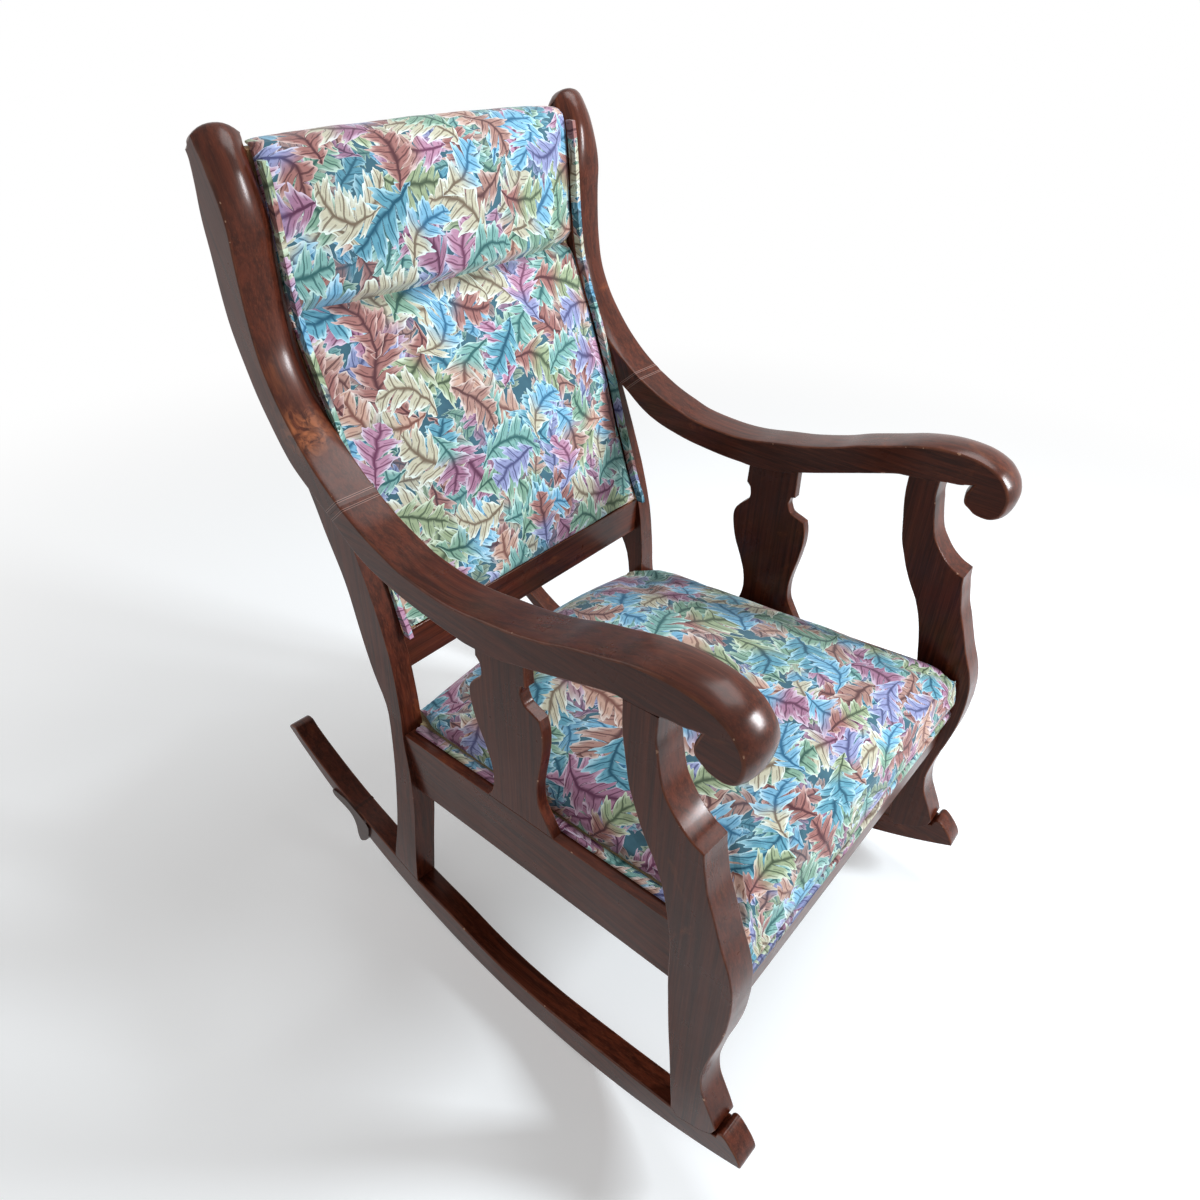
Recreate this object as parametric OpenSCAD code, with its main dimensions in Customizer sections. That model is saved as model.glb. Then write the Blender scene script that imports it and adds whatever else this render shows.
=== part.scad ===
// Upholstered rocking chair with scrolled arms, wings and curved runners.
// The sides are flat sawn boards that stand on planes which close in a little towards the back.
// Each side outline is drawn in the plane of the board: u runs back from the toe, v runs up from the floor.
// The origin is on the floor under the middle of the chair, and the front faces -Y.

/* [Overall] */
// Width across the outer faces of the front posts
side_w = 628; // [590:1:680]
// Length of the chair from the toe of a runner to its tail
chair_d = 914; // [900:1:940]
// Distance of the line where the width is measured behind the toe
width_u = 60; // [30:1:120]
// Angle by which each side turns in towards the back, in degrees
splay = 2; // [0:0.1:3]

/* [Runner] */
// Radius of the rocking curve
runner_r = 852; // [800:1:950]
// Distance of the resting point behind the toe
low_u = 392; // [380:1:405]
// Thickness of a runner
runner_t = 33; // [26:1:37]
// Depth of a runner under the seat
runner_h = 47; // [42:1:52]
// Height of the rolled toe above the rocking curve
toe_h = 34; // [26:1:44]
// Height of the seat that the front post stands on, above the floor
foot_v = 91; // [89:1:95]

/* [Heel block] */
// Distance of the heel block behind the toe
heel_u = 705; // [698:1:712]
// Length of the heel block
heel_l = 95; // [88:1:102]
// Height of the heel block
heel_h = 86; // [80:1:92]
// Clearance between the heel block and the floor
heel_lift = 40; // [34:1:46]
// Amount by which the heel block stands out from the side of the runner
heel_proud = 3; // [2:0.5:6]

/* [Front post] */
// Thickness of a front post
post_t = 37; // [34:1:44]
// Distance of the post's foot behind the toe
post_u = 38; // [36:1:40]
// Depth of the post's outline from the front of the foot to the back of the head
post_reach = 166; // [160:1:172]
// Height of a front post above its seat on the runner
post_h = 593; // [560:1:640]

/* [Arm] */
// Length of an arm from the front of the scroll to the underside of the wing
arm_l = 581; // [572:1:590]
// Height of an arm from the hollow under it to the top of the scroll
arm_rise = 112; // [104:1:120]
// Radius of the scroll at the front of an arm
scroll_r = 39; // [36:1:41]
// Distance of the front of the scroll ahead of the post's head
arm_overhang = 132; // [126:1:136]
// Thickness of an arm and of a wing
arm_t = 53; // [50:1:58]
// Width of each engraved ring where the arm meets the wing
ring_w = 1.6; // [1:0.1:2.5]
// Depth of each engraved ring
ring_depth = 1.2; // [0.6:0.1:2]
// Distance of each engraved ring from the joint
ring_gap = 5; // [4:0.5:8]

/* [Wing] */
// Depth of a wing from its foot to its crest
wing_d = 187; // [180:1:196]
// Height of a wing above the back end of the arm
wing_h = 385; // [370:1:400]

/* [Back post] */
// Distance of the outer face of the side rail and the splat inside the arm
leg_inset = 22; // [18:1:26]
// Depth of the sweep of a back post from its foot to its top
leg_sweep = 205; // [198:1:212]
// Distance of the front of the back post ahead of the foot of the wing
leg_lead = 46; // [42:1:50]
// Thickness of the foot of a back post
leg_foot_t = 31; // [28:1:36]
// Inset of the back post's outer face at the arm: its foot stands flush with the runner
leg_lean = 26; // [18:1:30]

/* [Splat] */
// Thickness of a splat
splat_t = 14.5; // [10:0.5:14.5]
// Width of a splat
splat_w = 130; // [110:1:140]
// Distance of the splat behind the front of the arm's scroll
splat_u = 247; // [235:1:262]

/* [Seat] */
// Height of the top of the seat frame at the front posts
seat_v = 395; // [385:1:405]
// Slope of the seat frame down towards the back, in degrees
seat_slope = 5.5; // [4:0.1:7]
// Height of a side rail
rail_h = 96; // [80:1:106]
// Thickness of the front rail and the back rails
rail_t = 24; // [20:1:28]
// Distance of the front rail behind the toe
front_rail_u = 67; // [64:1:70]
// Height of the front rail
front_rail_h = 122; // [112:1:130]
// Height of the polished part of the front rail, below the cover
front_bare_h = 56; // [48:1:64]
// Rise of the seat cushion's rim above the side rails
seat_rim = 24; // [20:1:34]
// Rise of the crown of the seat cushion above its rim
seat_crown = 44; // [34:1:50]
// Thickness of the padded border on the front rail
border_t = 8; // [6:0.5:10]
// Radius of one cord of the double welt
welt_r = 2.75; // [2:0.25:3.5]
// Length of a corner block along each rail
block_l = 62; // [50:1:80]
// Height of a corner block
block_h = 64; // [50:1:74]

/* [Seat springs] */
// Diameter of the middle of a spring
spring_d = 84; // [70:1:96]
// Diameter of the wire of a spring
wire_d = 3.6; // [3:0.1:4.5]
// Number of turns in a spring
spring_turns = 4; // [3:1:4]
// Thickness of one layer of webbing
web_t = 1.5; // [1:0.1:2]
// Width of a webbing strap
web_w = 52; // [40:1:60]
// Thickness of the canvas over the springs
deck_t = 3; // [2:0.5:4]

/* [Back] */
// Height of the bottom of the back's lower rail above the seat frame at the back posts
back_rail_rise = 88; // [80:1:100]
// Height of the back's lower rail
back_rail_h = 58; // [48:1:62]
// Depth of a back stile
stile_d = 20; // [16:1:24]
// Thickness of a back stile
stile_t = 22; // [18:1:26]
// Thickness of the back cushion at its sides
back_pad = 20; // [16:1:24]
// Rise of the crown of the back cushion above its sides
back_crown = 22; // [10:1:30]
// Height of the headrest above the seam across the back
head_h = 172; // [160:1:180]
// Depth of the seam that divides the headrest from the back
tuck = 9; // [5:1:12]
// Height of the crest rail inside the headrest
crest_h = 44; // [36:1:52]
// Thickness of the outside back
outback_t = 3; // [2:0.5:5]

/* [Hardware] */
// Diameter of a dowel
dowel_d = 9.5; // [8:0.5:12]
// Length of a dowel
dowel_l = 44; // [36:1:48]
// Diameter of the shank of a screw
screw_d = 4; // [3:0.5:5]
// Length of a screw under its head
screw_l = 44; // [36:1:48]
// Diameter of the head of a screw
screw_head_d = 8; // [7:0.5:10]
// Height of the head of a screw
screw_head_h = 3; // [2:0.5:4]
// Diameter of the head of a tack
tack_d = 9; // [7:0.5:11]
// Height of the head of a tack
tack_h = 1.4; // [1:0.1:2]
// Spacing of the tacks along the rails
tack_pitch = 60; // [50:1:90]

/* [Hidden] */
$fn = 48;

// Overrun of a cutting shape past the face that it cuts
over = 1;
// Clearance between a soft piece and what it lies against
ease = 0.3;
// Steps between two points of a smoothed outline
steps = 3;
// Thickness of the fabric under the frame
cloth_t = 1;
wood = "#4a1710";
wood_dark = "#35110c";
tapestry = "#2f5257";
canvas = "#b9a982";
steel = "#8d8f92";

// A point of a smooth curve through b and c, with a before it and d after it
function curve_at(a, b, c, d, t) =
    ((2 * b) + (c - a) * t + (2 * a - 5 * b + 4 * c - d) * t * t + (3 * b - a - 3 * c + d) * t * t * t) / 2;

// A smooth curve through points, which keeps both ends
function smooth(p, n = steps) = [
    for (i = [0 : len(p) - 2])
        for (j = [0 : n - 1])
            curve_at(p[max(i - 1, 0)], p[i], p[i + 1], p[min(i + 2, len(p) - 1)], j / n),
    p[len(p) - 1]
];

// Points given as shares of a box with its low corner at o and its size s
function place(shares, o, s) = [for (p = shares) [o[0] + p[0] * s[0], o[1] + p[1] * s[1]]];

// The points of a list in the other order
function back_to_front(p) = [for (i = [len(p) - 1 : -1 : 0]) p[i]];

// The value of a curve of [place, value] points at x
function along(p, x, i = 0) =
    i >= len(p) - 2 || x < p[i + 1][0]
        ? p[i][1] + (p[i + 1][1] - p[i][1]) * (x - p[i][0]) / (p[i + 1][0] - p[i][0])
        : along(p, x, i + 1);

// Height of the rocking curve at u
function floor_v(u) = runner_r - sqrt(runner_r * runner_r - (u - low_u) * (u - low_u));

// Half of the chair's width at u, less an inset measured square to the side
function half_at(u, inset) = side_w / 2 - tan(splay) * (u - width_u) - inset / cos(splay);

// Places that several pieces share
half_d = chair_d / 2;
// Place of the post's head, where the arm lies on it
head_v = foot_v + post_h;
head_u = post_u + post_reach;
// Low corner of the arm's outline
arm_head_share = 0.56;
arm_u = head_u - arm_overhang;
arm_v = head_v - arm_head_share * arm_rise;
// Joint of the arm and the wing, from the top edge to the bottom edge
joint_lead_share = 0.14;
joint_top_share = 0.725;
joint_low_share = 0.52;
joint_top = [arm_u + arm_l - joint_lead_share * wing_d, arm_v + joint_top_share * arm_rise];
joint_low = [arm_u + arm_l, arm_v + joint_low_share * arm_rise];
joint_turn = atan2(joint_low[1] - joint_top[1], joint_low[0] - joint_top[0]) + 90;
joint_mid = (joint_top + joint_low) / 2;
wing_u = joint_top[0];
wing_v = joint_low[1];
wing_top = wing_v + wing_h;
// Knee and ends of the back post
leg_u = wing_u - leg_lead;
leg_low = floor_v(leg_u) + runner_h / 2;
leg_top_share = 0.32;
leg_top = wing_v + leg_top_share * wing_h;
// Front of the back post where the seat frame meets it
knee_share = 0.078;
knee_u = leg_u + knee_share * leg_sweep;
// Inner face that the arm, the wing, the side rail and the back post share
inner = arm_t;
// Line of the top of the seat frame
seat_u = head_u - post_reach / 3;
function seat_line(u) = seat_v - tan(seat_slope) * (u - seat_u);
// Front and rear faces of the cross rails
front_rail_back = front_rail_u + rail_t;
front_rail_top = seat_line(front_rail_back) - cloth_t;
front_rail_low = front_rail_top - front_rail_h;
rear_rail_u = knee_u;
rear_rail_back = rear_rail_u + rail_t;
back_rail_u = knee_u + rail_t * 3 / 4;
back_rail_low = seat_line(knee_u) + back_rail_rise;
back_rail_top = back_rail_low + back_rail_h;

// Front edge of the back cushion, up along the back post and the wing: share of the height, place behind the rail
back_edge_shares = [[0, -0.02], [0.025, 0.01], [0.07, 0.085], [0.14, 0.17], [0.215, 0.27], [0.28, 0.345],
    [0.35, 0.42], [0.42, 0.51], [0.50, 0.62], [0.555, 0.705], [0.605, 0.78], [0.645, 0.83], [0.69, 0.865],
    [0.78, 0.905], [0.88, 0.93], [0.95, 0.96], [1, 1]];
back_bottom = back_rail_top + ease;
back_top = wing_top - arm_t / 3;
back_lean = 151;
function back_edge(v) =
    back_rail_u - cloth_t + back_lean * along(smooth(back_edge_shares), (v - back_bottom) / (back_top - back_bottom));
head_seam = back_top - head_h;
// Depth of the back cushion at its sides, thin at the lower rail and full above it
back_depth_shares = [[0, 0.2], [0.05, 0.45], [0.15, 0.9], [0.25, 1], [1, 1]];
function back_depth(v) = back_pad * along(back_depth_shares, (v - back_bottom) / (back_top - back_bottom));
// Back cushion, webbing and stile lie behind one another
function stile_front(v) = back_edge(v) + back_depth(v) + web_t;
function stile_rear(v) = stile_front(v) + stile_d;

// Outlines of the side pieces
post_front_shares = [[0, 0.065], [0.04, 0.09], [0.095, 0.12], [0.145, 0.15], [0.17, 0.185], [0.17, 0.215],
    [0.145, 0.27], [0.10, 0.335], [0.07, 0.39], [0.06, 0.44], [0.06, 0.47], [0.075, 0.515], [0.12, 0.56],
    [0.19, 0.605], [0.275, 0.67], [0.325, 0.705], [0.355, 0.74], [0.375, 0.765], [0.385, 0.79]];
post_scoop_shares = [[0.475, 0.80], [0.55, 0.815], [0.615, 0.835], [0.685, 0.865], [0.725, 0.905],
    [0.745, 0.935], [0.76, 0.96], [0.755, 1.03]];
post_rear_shares = [[1, 1.03], [1, 0.965], [0.99, 0.925], [0.96, 0.875], [0.93, 0.83], [0.885, 0.795],
    [0.835, 0.76], [0.77, 0.725], [0.705, 0.695], [0.645, 0.655], [0.60, 0.61], [0.565, 0.56], [0.54, 0.515],
    [0.525, 0.42], [0.505, 0.355], [0.475, 0.265], [0.435, 0.17], [0.37, 0]];
post_foot_shares = [[0.31, -0.01], [0.21, 0.005], [0.11, 0.02], [0.03, 0.04]];

arm_low_shares = [[0.095, 0.605], [0.11, 0.578], [0.135, 0.57], [0.18, 0.56], [0.23, 0.525], [0.305, 0.41],
    [0.375, 0.29], [0.46, 0.145], [0.53, 0.06], [0.60, 0.01], [0.665, 0], [0.73, 0.02], [0.80, 0.06],
    [0.88, 0.155], [0.94, 0.295], [1, joint_low_share]];
arm_top_shares = [[0.89, 0.56], [0.825, 0.445], [0.775, 0.375], [0.69, 0.34], [0.62, 0.355],
    [0.54, 0.43], [0.475, 0.495], [0.40, 0.605], [0.35, 0.705], [0.28, 0.82], [0.23, 0.91], [0.18, 0.975],
    [0.135, 1]];

// Outline of the scroll, round from the notch under the arm to the top of the arm
scroll_low_share = 0.274;
scroll_shares = [[0.755, 0.37], [0.755, 0.255], [0.72, 0.165], [0.615, 0.09], [0.51, 0.025], [0.33, 0],
    [0.205, 0.025], [0.09, 0.10], [0.025, 0.23], [0, 0.42], [0.025, 0.55], [0.09, 0.69], [0.23, 0.845],
    [0.345, 0.92], [0.5, 0.985], [0.70, 1.03]];

wing_front_shares = [[0, 0.06], [0.145, 0.11], [0.30, 0.18], [0.44, 0.265], [0.53, 0.335], [0.60, 0.415],
    [0.635, 0.505], [0.65, 0.59], [0.655, 0.685], [0.65, 0.75], [0.66, 0.82], [0.685, 0.885], [0.72, 0.93],
    [0.77, 0.97], [0.835, 1], [0.90, 0.995], [0.955, 0.98], [1, 0.945]];
wing_rear_shares = [[1, 0.945], [0.99, 0.895], [0.975, 0.845], [0.965, 0.78], [0.945, 0.685], [0.93, 0.56],
    [0.90, 0.47], [0.83, 0.375], [0.75, 0.285], [0.625, 0.19], [0.51, 0.12], [0.405, 0.08], [0.29, 0.045],
    [0.145, 0]];

leg_front_shares = [[0.04, 0], [0.034, 0.04], [0.01, 0.16], [0, 0.225], [0.01, 0.278], [0.034, 0.33],
    [0.073, 0.377], [0.093, 0.416], [0.102, 0.469], [0.132, 0.548], [0.173, 0.601], [0.227, 0.654], [0.268, 0.687],
    [0.312, 0.72], [0.366, 0.759], [0.483, 0.838], [0.605, 0.898], [0.873, 0.983]];
leg_rear_shares = [[0.995, 0.997], [0.932, 0.946], [0.888, 0.911], [0.839, 0.872], [0.785, 0.84],
    [0.727, 0.804], [0.659, 0.756], [0.556, 0.694], [0.502, 0.648], [0.434, 0.574], [0.351, 0.508], [0.254, 0.453],
    [0.215, 0.377], [0.20, 0.278], [0.224, 0.153], [0.288, 0.058], [0.31, 0]];
// Front view of a back post: inset of the outer face up to the top, width of the part below the seat frame
leg_lean_shares = [[0, 0], [0, 0.05], [0.12, 0.14], [0.42, 0.28], [0.77, 0.416], [0.85, 0.47], [0.98, 0.654], [1, 1]];
leg_inner_shares = [[1, 1], [0.70, 0.955], [0.52, 0.77], [0.26, 0.44], [0, 0]];

splat_front_shares = [[-0.12, -0.04], [-0.06, 0], [0, 0.05], [0.08, 0.11], [0.145, 0.17], [0.16, 0.255],
    [0.14, 0.335], [0.10, 0.44], [0.075, 0.535], [0.08, 0.61], [0.11, 0.665]];
splat_neck_front_shares = [[0.20, 0.68], [0.28, 0.695], [0.315, 0.725], [0.33, 0.75], [0.31, 0.785]];
splat_collar_shares = [[0.265, 0.79], [0.28, 1.05], [0.86, 1.05], [0.875, 0.79]];
splat_neck_rear_shares = [[0.825, 0.765], [0.81, 0.725], [0.83, 0.69], [0.915, 0.65], [0.985, 0.60], [0.99, 0.535],
    [0.94, 0.43], [0.85, 0.33], [0.78, 0.245], [0.75, 0.18], [0.745, 0.115], [0.77, 0.05], [0.82, 0],
    [0.90, -0.04]];

heel_shares = [[0, 0.62], [0.04, 0.42], [0.12, 0.21], [0.24, 0.07], [0.34, 0], [0.39, 0.12], [0.39, 0.35],
    [0.45, 0.55], [0.58, 0.64], [0.79, 0.675], [0.95, 0.70], [1, 0.78]];
heel_top_shares = [[0.98, 0.84], [0.93, 0.86], [0.79, 0.89], [0.62, 0.90], [0.47, 0.87], [0.32, 0.82],
    [0.16, 0.76], [0.05, 0.70]];

module post_outline() {
    o = [post_u, foot_v];
    s = [post_reach, post_h];
    polygon(concat(
        smooth(place(post_front_shares, o, s)),
        smooth(place(post_scoop_shares, o, s)),
        smooth(place(post_rear_shares, o, s)),
        smooth(place(post_foot_shares, o, s))));
}

module arm_outline() {
    o = [arm_u, arm_v];
    s = [arm_l, arm_rise];
    scroll = place(scroll_shares, [arm_u, arm_v + scroll_low_share * arm_rise], [2 * scroll_r, 2 * scroll_r]);
    polygon(concat(
        smooth(place(arm_low_shares, o, s)),
        smooth(concat([joint_top], place(arm_top_shares, o, s), back_to_front(scroll)))));
}

module wing_outline() {
    o = [wing_u, wing_v];
    s = [wing_d, wing_h];
    w = concat(smooth(place(wing_front_shares, o, s)), smooth(place(wing_rear_shares, o, s)));
    foot = [joint_top, joint_low];
    polygon(concat(w, back_to_front(foot)));
}

module leg_outline() {
    o = [leg_u, leg_low];
    s = [leg_sweep, leg_top - leg_low];
    polygon(concat(smooth(place(leg_front_shares, o, s)), smooth(place(leg_rear_shares, o, s))));
}

splat_low = seat_line(arm_u + splat_u + splat_w / 2);
splat_h = arm_v + arm_rise / 5 - splat_low;

module splat_outline() {
    o = [arm_u + splat_u, splat_low];
    s = [splat_w, splat_h];
    polygon(concat(
        smooth(place(splat_front_shares, o, s)),
        smooth(place(splat_neck_front_shares, o, s)),
        place(splat_collar_shares, o, s),
        smooth(place(splat_neck_rear_shares, o, s))));
}

// Depth of the runner along its length, as shares of its depth under the seat
runner_depth_shares = [[0.105, 0.86], [0.15, 0.98], [0.20, 1.04], [0.27, 1.06], [0.34, 1], [0.42, 0.98],
    [0.49, 1.02], [0.56, 1.10], [0.64, 1], [0.70, 0.98], [0.75, 0.94], [0.81, 0.80], [0.87, 0.68], [0.93, 0.56],
    [0.96, 0.52]];
toe_shares = [[0.01, -0.25], [0, 0.10], [0.10, 0.36], [0.24, 0.58], [0.42, 0.80], [0.58, 0.97], [0.73, 1.06],
    [0.86, 1.02], [0.93, 0.86], [0.96, 0.66]];
tail_shares = [[0.30, 0.58], [0.62, 0.56], [0.86, 0.38], [0.98, 0.08], [1, -0.25], [0.97, -0.6]];

module runner_outline() {
    tail_l = 0.04 * chair_d;
    toe = smooth(place(toe_shares, [0, floor_v(0)], [post_u, toe_h]));
    seat = smooth(place(post_foot_shares, [post_u, foot_v], [post_reach, post_h]));
    top = smooth([for (p = runner_depth_shares) [p[0] * chair_d, floor_v(p[0] * chair_d) + p[1] * runner_h]]);
    tail = smooth(place(tail_shares, [chair_d - tail_l, floor_v(chair_d - tail_l / 2)], [tail_l, tail_l]));
    intersection() {
        polygon(concat(toe, back_to_front(seat), top, tail, [[chair_d, -runner_h], [0, -runner_h]]));
        translate([low_u, runner_r])
            circle(r = runner_r, $fn = 240);
    }
}

module heel_outline() {
    o = [heel_u, heel_lift];
    s = [heel_l, heel_h];
    polygon(concat(smooth(place(heel_shares, o, s)), smooth(place(heel_top_shares, o, s))));
}

// Side rail, drawn from inside one post to inside the other and then cut by both
module rail_outline() {
    u0 = post_u + post_reach / 3;
    u1 = leg_u + leg_sweep / 8;
    polygon([
        [u0, seat_line(u0) - rail_h],
        [u1, seat_line(u1) - rail_h],
        [u1, seat_line(u1)],
        [u0, seat_line(u0)]
    ]);
}

// A board of thickness t from an outline in its own plane
module board(t) {
    rotate([90, 0, 90])
        linear_extrude(t)
            children();
}

// Places what is drawn in the frame of the right side, inset from its outer face
module on_side(inset) {
    translate([-side_w / 2, width_u - half_d, 0])
        rotate([0, 0, -splay])
            translate([inset, -width_u, 0])
                children();
}

// The space between the two side planes at an inset
module between(inset) {
    front = -chair_d / 4;
    rear = chair_d * 5 / 4;
    translate([0, 0, -wing_top])
        linear_extrude(3 * wing_top)
            polygon([
                [-half_at(front, inset), front - half_d],
                [half_at(front, inset), front - half_d],
                [half_at(rear, inset), rear - half_d],
                [-half_at(rear, inset), rear - half_d]
            ]);
}

// A piece across the chair with a profile in u and v, that ends at the side planes at an inset
module across(inset) {
    intersection() {
        translate([-side_w, -half_d, 0])
            board(2 * side_w)
                children();
        between(inset);
    }
}

// Sides
module runner_right() {
    color(wood)
        difference() {
            on_side(0)
                board(runner_t)
                    runner_outline();
            dowel_bores();
        }
}

module runner_left() {
    mirror([1, 0, 0])
        runner_right();
}

module heel_block_right() {
    color(wood_dark)
        difference() {
            on_side(-heel_proud)
                board(runner_t + heel_proud)
                    heel_outline();
            on_side(0)
                board(runner_t + over)
                    runner_outline();
        }
}

module heel_block_left() {
    mirror([1, 0, 0])
        heel_block_right();
}

module front_post_right() {
    color(wood)
        difference() {
            on_side(0)
                board(post_t)
                    difference() {
                        post_outline();
                        runner_outline();
                        arm_outline();
                    }
            dowel_bores();
        }
}

module front_post_left() {
    mirror([1, 0, 0])
        front_post_right();
}

// Two engraved rings around the joint of the arm and the wing
module ring_cuts() {
    reach = arm_rise;
    for (side = [-1, 1])
        on_side(0)
            translate([arm_t / 2, joint_mid[0], joint_mid[1]])
                rotate([joint_turn, 0, 0])
                    translate([0, side * ring_gap, 0])
                        difference() {
                            cube([2 * arm_t, ring_w, reach], center = true);
                            cube([arm_t - 2 * ring_depth, 2 * ring_w, reach * 2], center = true);
                        }
}

module arm_right() {
    color(wood)
        difference() {
            on_side(0)
                board(arm_t)
                    arm_outline();
            dowel_bores();
            ring_cuts();
        }
}

module arm_left() {
    mirror([1, 0, 0])
        arm_right();
}

module wing_right() {
    color(wood)
        difference() {
            on_side(0)
                board(arm_t)
                    wing_outline();
            ring_cuts();
        }
}

module wing_left() {
    mirror([1, 0, 0])
        wing_right();
}

// Front view of a back post: the outer face leans out to the foot, the inner face is upright above the seat frame
module leg_front_view() {
    rail_low = seat_line(knee_u) - rail_h;
    outer_face = smooth(place(leg_lean_shares, [0, leg_low], [leg_lean, leg_top - leg_low]));
    inner_face = smooth(place(leg_inner_shares, [leg_foot_t, leg_low], [inner - leg_foot_t, rail_low - leg_low]));
    polygon(concat(
        [[0, leg_low - over]],
        outer_face,
        [[leg_lean, leg_top + over], [inner, leg_top + over]],
        inner_face,
        [[leg_foot_t, leg_low - over]]));
}

module back_post_right() {
    color(wood)
        difference() {
            intersection() {
                on_side(0)
                    board(inner)
                        difference() {
                            leg_outline();
                            runner_outline();
                            arm_outline();
                            wing_outline();
                        }
                on_side(0)
                    translate([0, chair_d * 2, 0])
                        rotate([90, 0, 0])
                            linear_extrude(chair_d * 2)
                                leg_front_view();
            }
            dowel_bores();
        }
}

module back_post_left() {
    mirror([1, 0, 0])
        back_post_right();
}

module splat_right() {
    color(wood)
        on_side(leg_inset)
            board(splat_t)
                difference() {
                    splat_outline();
                    arm_outline();
                    rail_outline();
                }
}

module splat_left() {
    mirror([1, 0, 0])
        splat_right();
}

module side_rail_right() {
    color(wood)
        difference() {
            on_side(leg_inset)
                board(inner - leg_inset)
                    difference() {
                        rail_outline();
                        post_outline();
                        leg_outline();
                    }
            screw_bores(screw_d);
        }
}

module side_rail_left() {
    mirror([1, 0, 0])
        side_rail_right();
}

// Rails across the chair
module front_rail() {
    color(wood)
        difference() {
            across(post_t)
                translate([front_rail_u, front_rail_low])
                    square([rail_t, front_rail_h]);
            screw_bores(screw_d);
        }
}

rear_rail_top = seat_line(rear_rail_u) - cloth_t;
rear_rail_low = seat_line(rear_rail_u) - rail_h;

module rear_rail() {
    color(wood)
        difference() {
            across(inner)
                translate([rear_rail_u, rear_rail_low])
                    square([rail_t, rear_rail_top - rear_rail_low]);
            screw_bores(screw_d);
        }
}

module back_lower_rail() {
    color(wood)
        across(inner)
            translate([back_rail_u, back_rail_low])
                square([rail_t, back_rail_h]);
}

crest_low = back_top - crest_h - seat_rim / 3;
crest_top = crest_low + crest_h;

module stile_outline() {
    n = 24;
    v = [for (i = [0 : n]) back_rail_top + (crest_low - back_rail_top) * i / n];
    polygon(concat(
        [for (a = v) [stile_front(a), a]],
        [for (i = [n : -1 : 0]) [stile_rear(v[i]), v[i]]]));
}

module back_stile_right() {
    color(wood_dark)
        intersection() {
            beside(inner, stile_t)
                stile_outline();
            translate([-side_w, -chair_d, 0])
                cube([side_w, 2 * chair_d, wing_top]);
        }
}

module back_stile_left() {
    mirror([1, 0, 0])
        back_stile_right();
}

module crest_rail() {
    color(wood_dark)
        across(inner)
            translate([stile_front(crest_low), crest_low])
                square([stile_d, crest_h]);
}

// Corner blocks, glued and screwed in the corners of the seat frame
front_block_v = seat_line(front_rail_back + block_l) - (rail_h + block_h) / 2;
rear_block_v = seat_line(rear_rail_u) - (rail_h + block_h) / 2;
// Back face of the front post at the height of the blocks, as a share of the post's depth
post_back_share = 0.53;
post_back_u = post_u + post_back_share * post_reach;

module corner_block_front_right() {
    a = front_rail_back;
    b = a + block_l;
    color(wood_dark)
        difference() {
            translate([0, 0, front_block_v])
                linear_extrude(block_h)
                    polygon([
                        [-half_at(a, post_t), a - half_d],
                        [block_l - half_at(a, inner), a - half_d],
                        [-half_at(b, inner), b - half_d],
                        [-half_at(post_back_u, inner), post_back_u - half_d],
                        [-half_at(post_back_u, post_t), post_back_u - half_d]
                    ]);
            on_side(0)
                board(post_t)
                    post_outline();
            on_side(leg_inset)
                board(inner - leg_inset)
                    difference() {
                        rail_outline();
                        post_outline();
                    }
            screw_bores(screw_d);
        }
}

module corner_block_front_left() {
    mirror([1, 0, 0])
        corner_block_front_right();
}

module corner_block_rear_right() {
    b = rear_rail_u;
    a = b - block_l;
    color(wood_dark)
        difference() {
            translate([0, 0, rear_block_v])
                linear_extrude(block_h)
                    polygon([
                        [-half_at(a, inner), a - half_d],
                        [block_l - half_at(b, inner), b - half_d],
                        [-half_at(b, inner), b - half_d]
                    ]);
            screw_bores(screw_d);
        }
}

module corner_block_rear_left() {
    mirror([1, 0, 0])
        corner_block_rear_right();
}

// Screws through the corner blocks into the cross rails
screw_rows = [-1, 1];
screw_inset = inner + block_l / 3;

// Place of each screw on the right: head end and direction along Y
module at_screws() {
    for (side = [-1, 1])
        for (row = screw_rows) {
            translate([side * half_at(front_rail_back, screw_inset),
                    front_rail_back + screw_reach - half_d, front_block_v + block_h / 2 + row * block_h / 4])
                rotate([90, 0, 0])
                    children();
            translate([side * half_at(rear_rail_u, screw_inset),
                    rear_rail_u - screw_reach - half_d, rear_block_v + block_h / 2 + row * block_h / 4])
                rotate([-90, 0, 0])
                    children();
        }
}

// Depth of the block under the head of a screw
screw_reach = screw_l - 2 * rail_t / 3;

module screw_bores(d) {
    at_screws() {
        cylinder(d = d, h = screw_l);
        translate([0, 0, -block_l])
            cylinder(d = screw_head_d, h = block_l);
    }
}

module screws() {
    color(steel)
        at_screws() {
            cylinder(d = screw_d, h = screw_l);
            translate([0, 0, -screw_head_h])
                cylinder(d = screw_head_d, h = screw_head_h);
        }
}

// Dowels in the post's head and in both feet
dowel_x = runner_t / 2;
post_foot_share = 0.20;
post_head_share = 0.875;
leg_foot_share = 0.175;

module at_dowels() {
    on_side(0)
        translate([dowel_x, 0, 0]) {
            translate([0, post_u + post_head_share * post_reach, head_v - dowel_l / 2])
                children();
            translate([0, post_u + post_foot_share * post_reach, foot_v - dowel_l * 3 / 8])
                children();
            translate([0, leg_u + leg_foot_share * leg_sweep,
                    floor_v(leg_u + leg_foot_share * leg_sweep) + runner_h - dowel_l / 2])
                children();
        }
}

module dowel_bores() {
    at_dowels()
        cylinder(d = dowel_d, h = dowel_l);
}

module dowels() {
    color(canvas) {
        at_dowels()
            cylinder(d = dowel_d, h = dowel_l);
        mirror([1, 0, 0])
            at_dowels()
                cylinder(d = dowel_d, h = dowel_l);
    }
}

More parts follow.
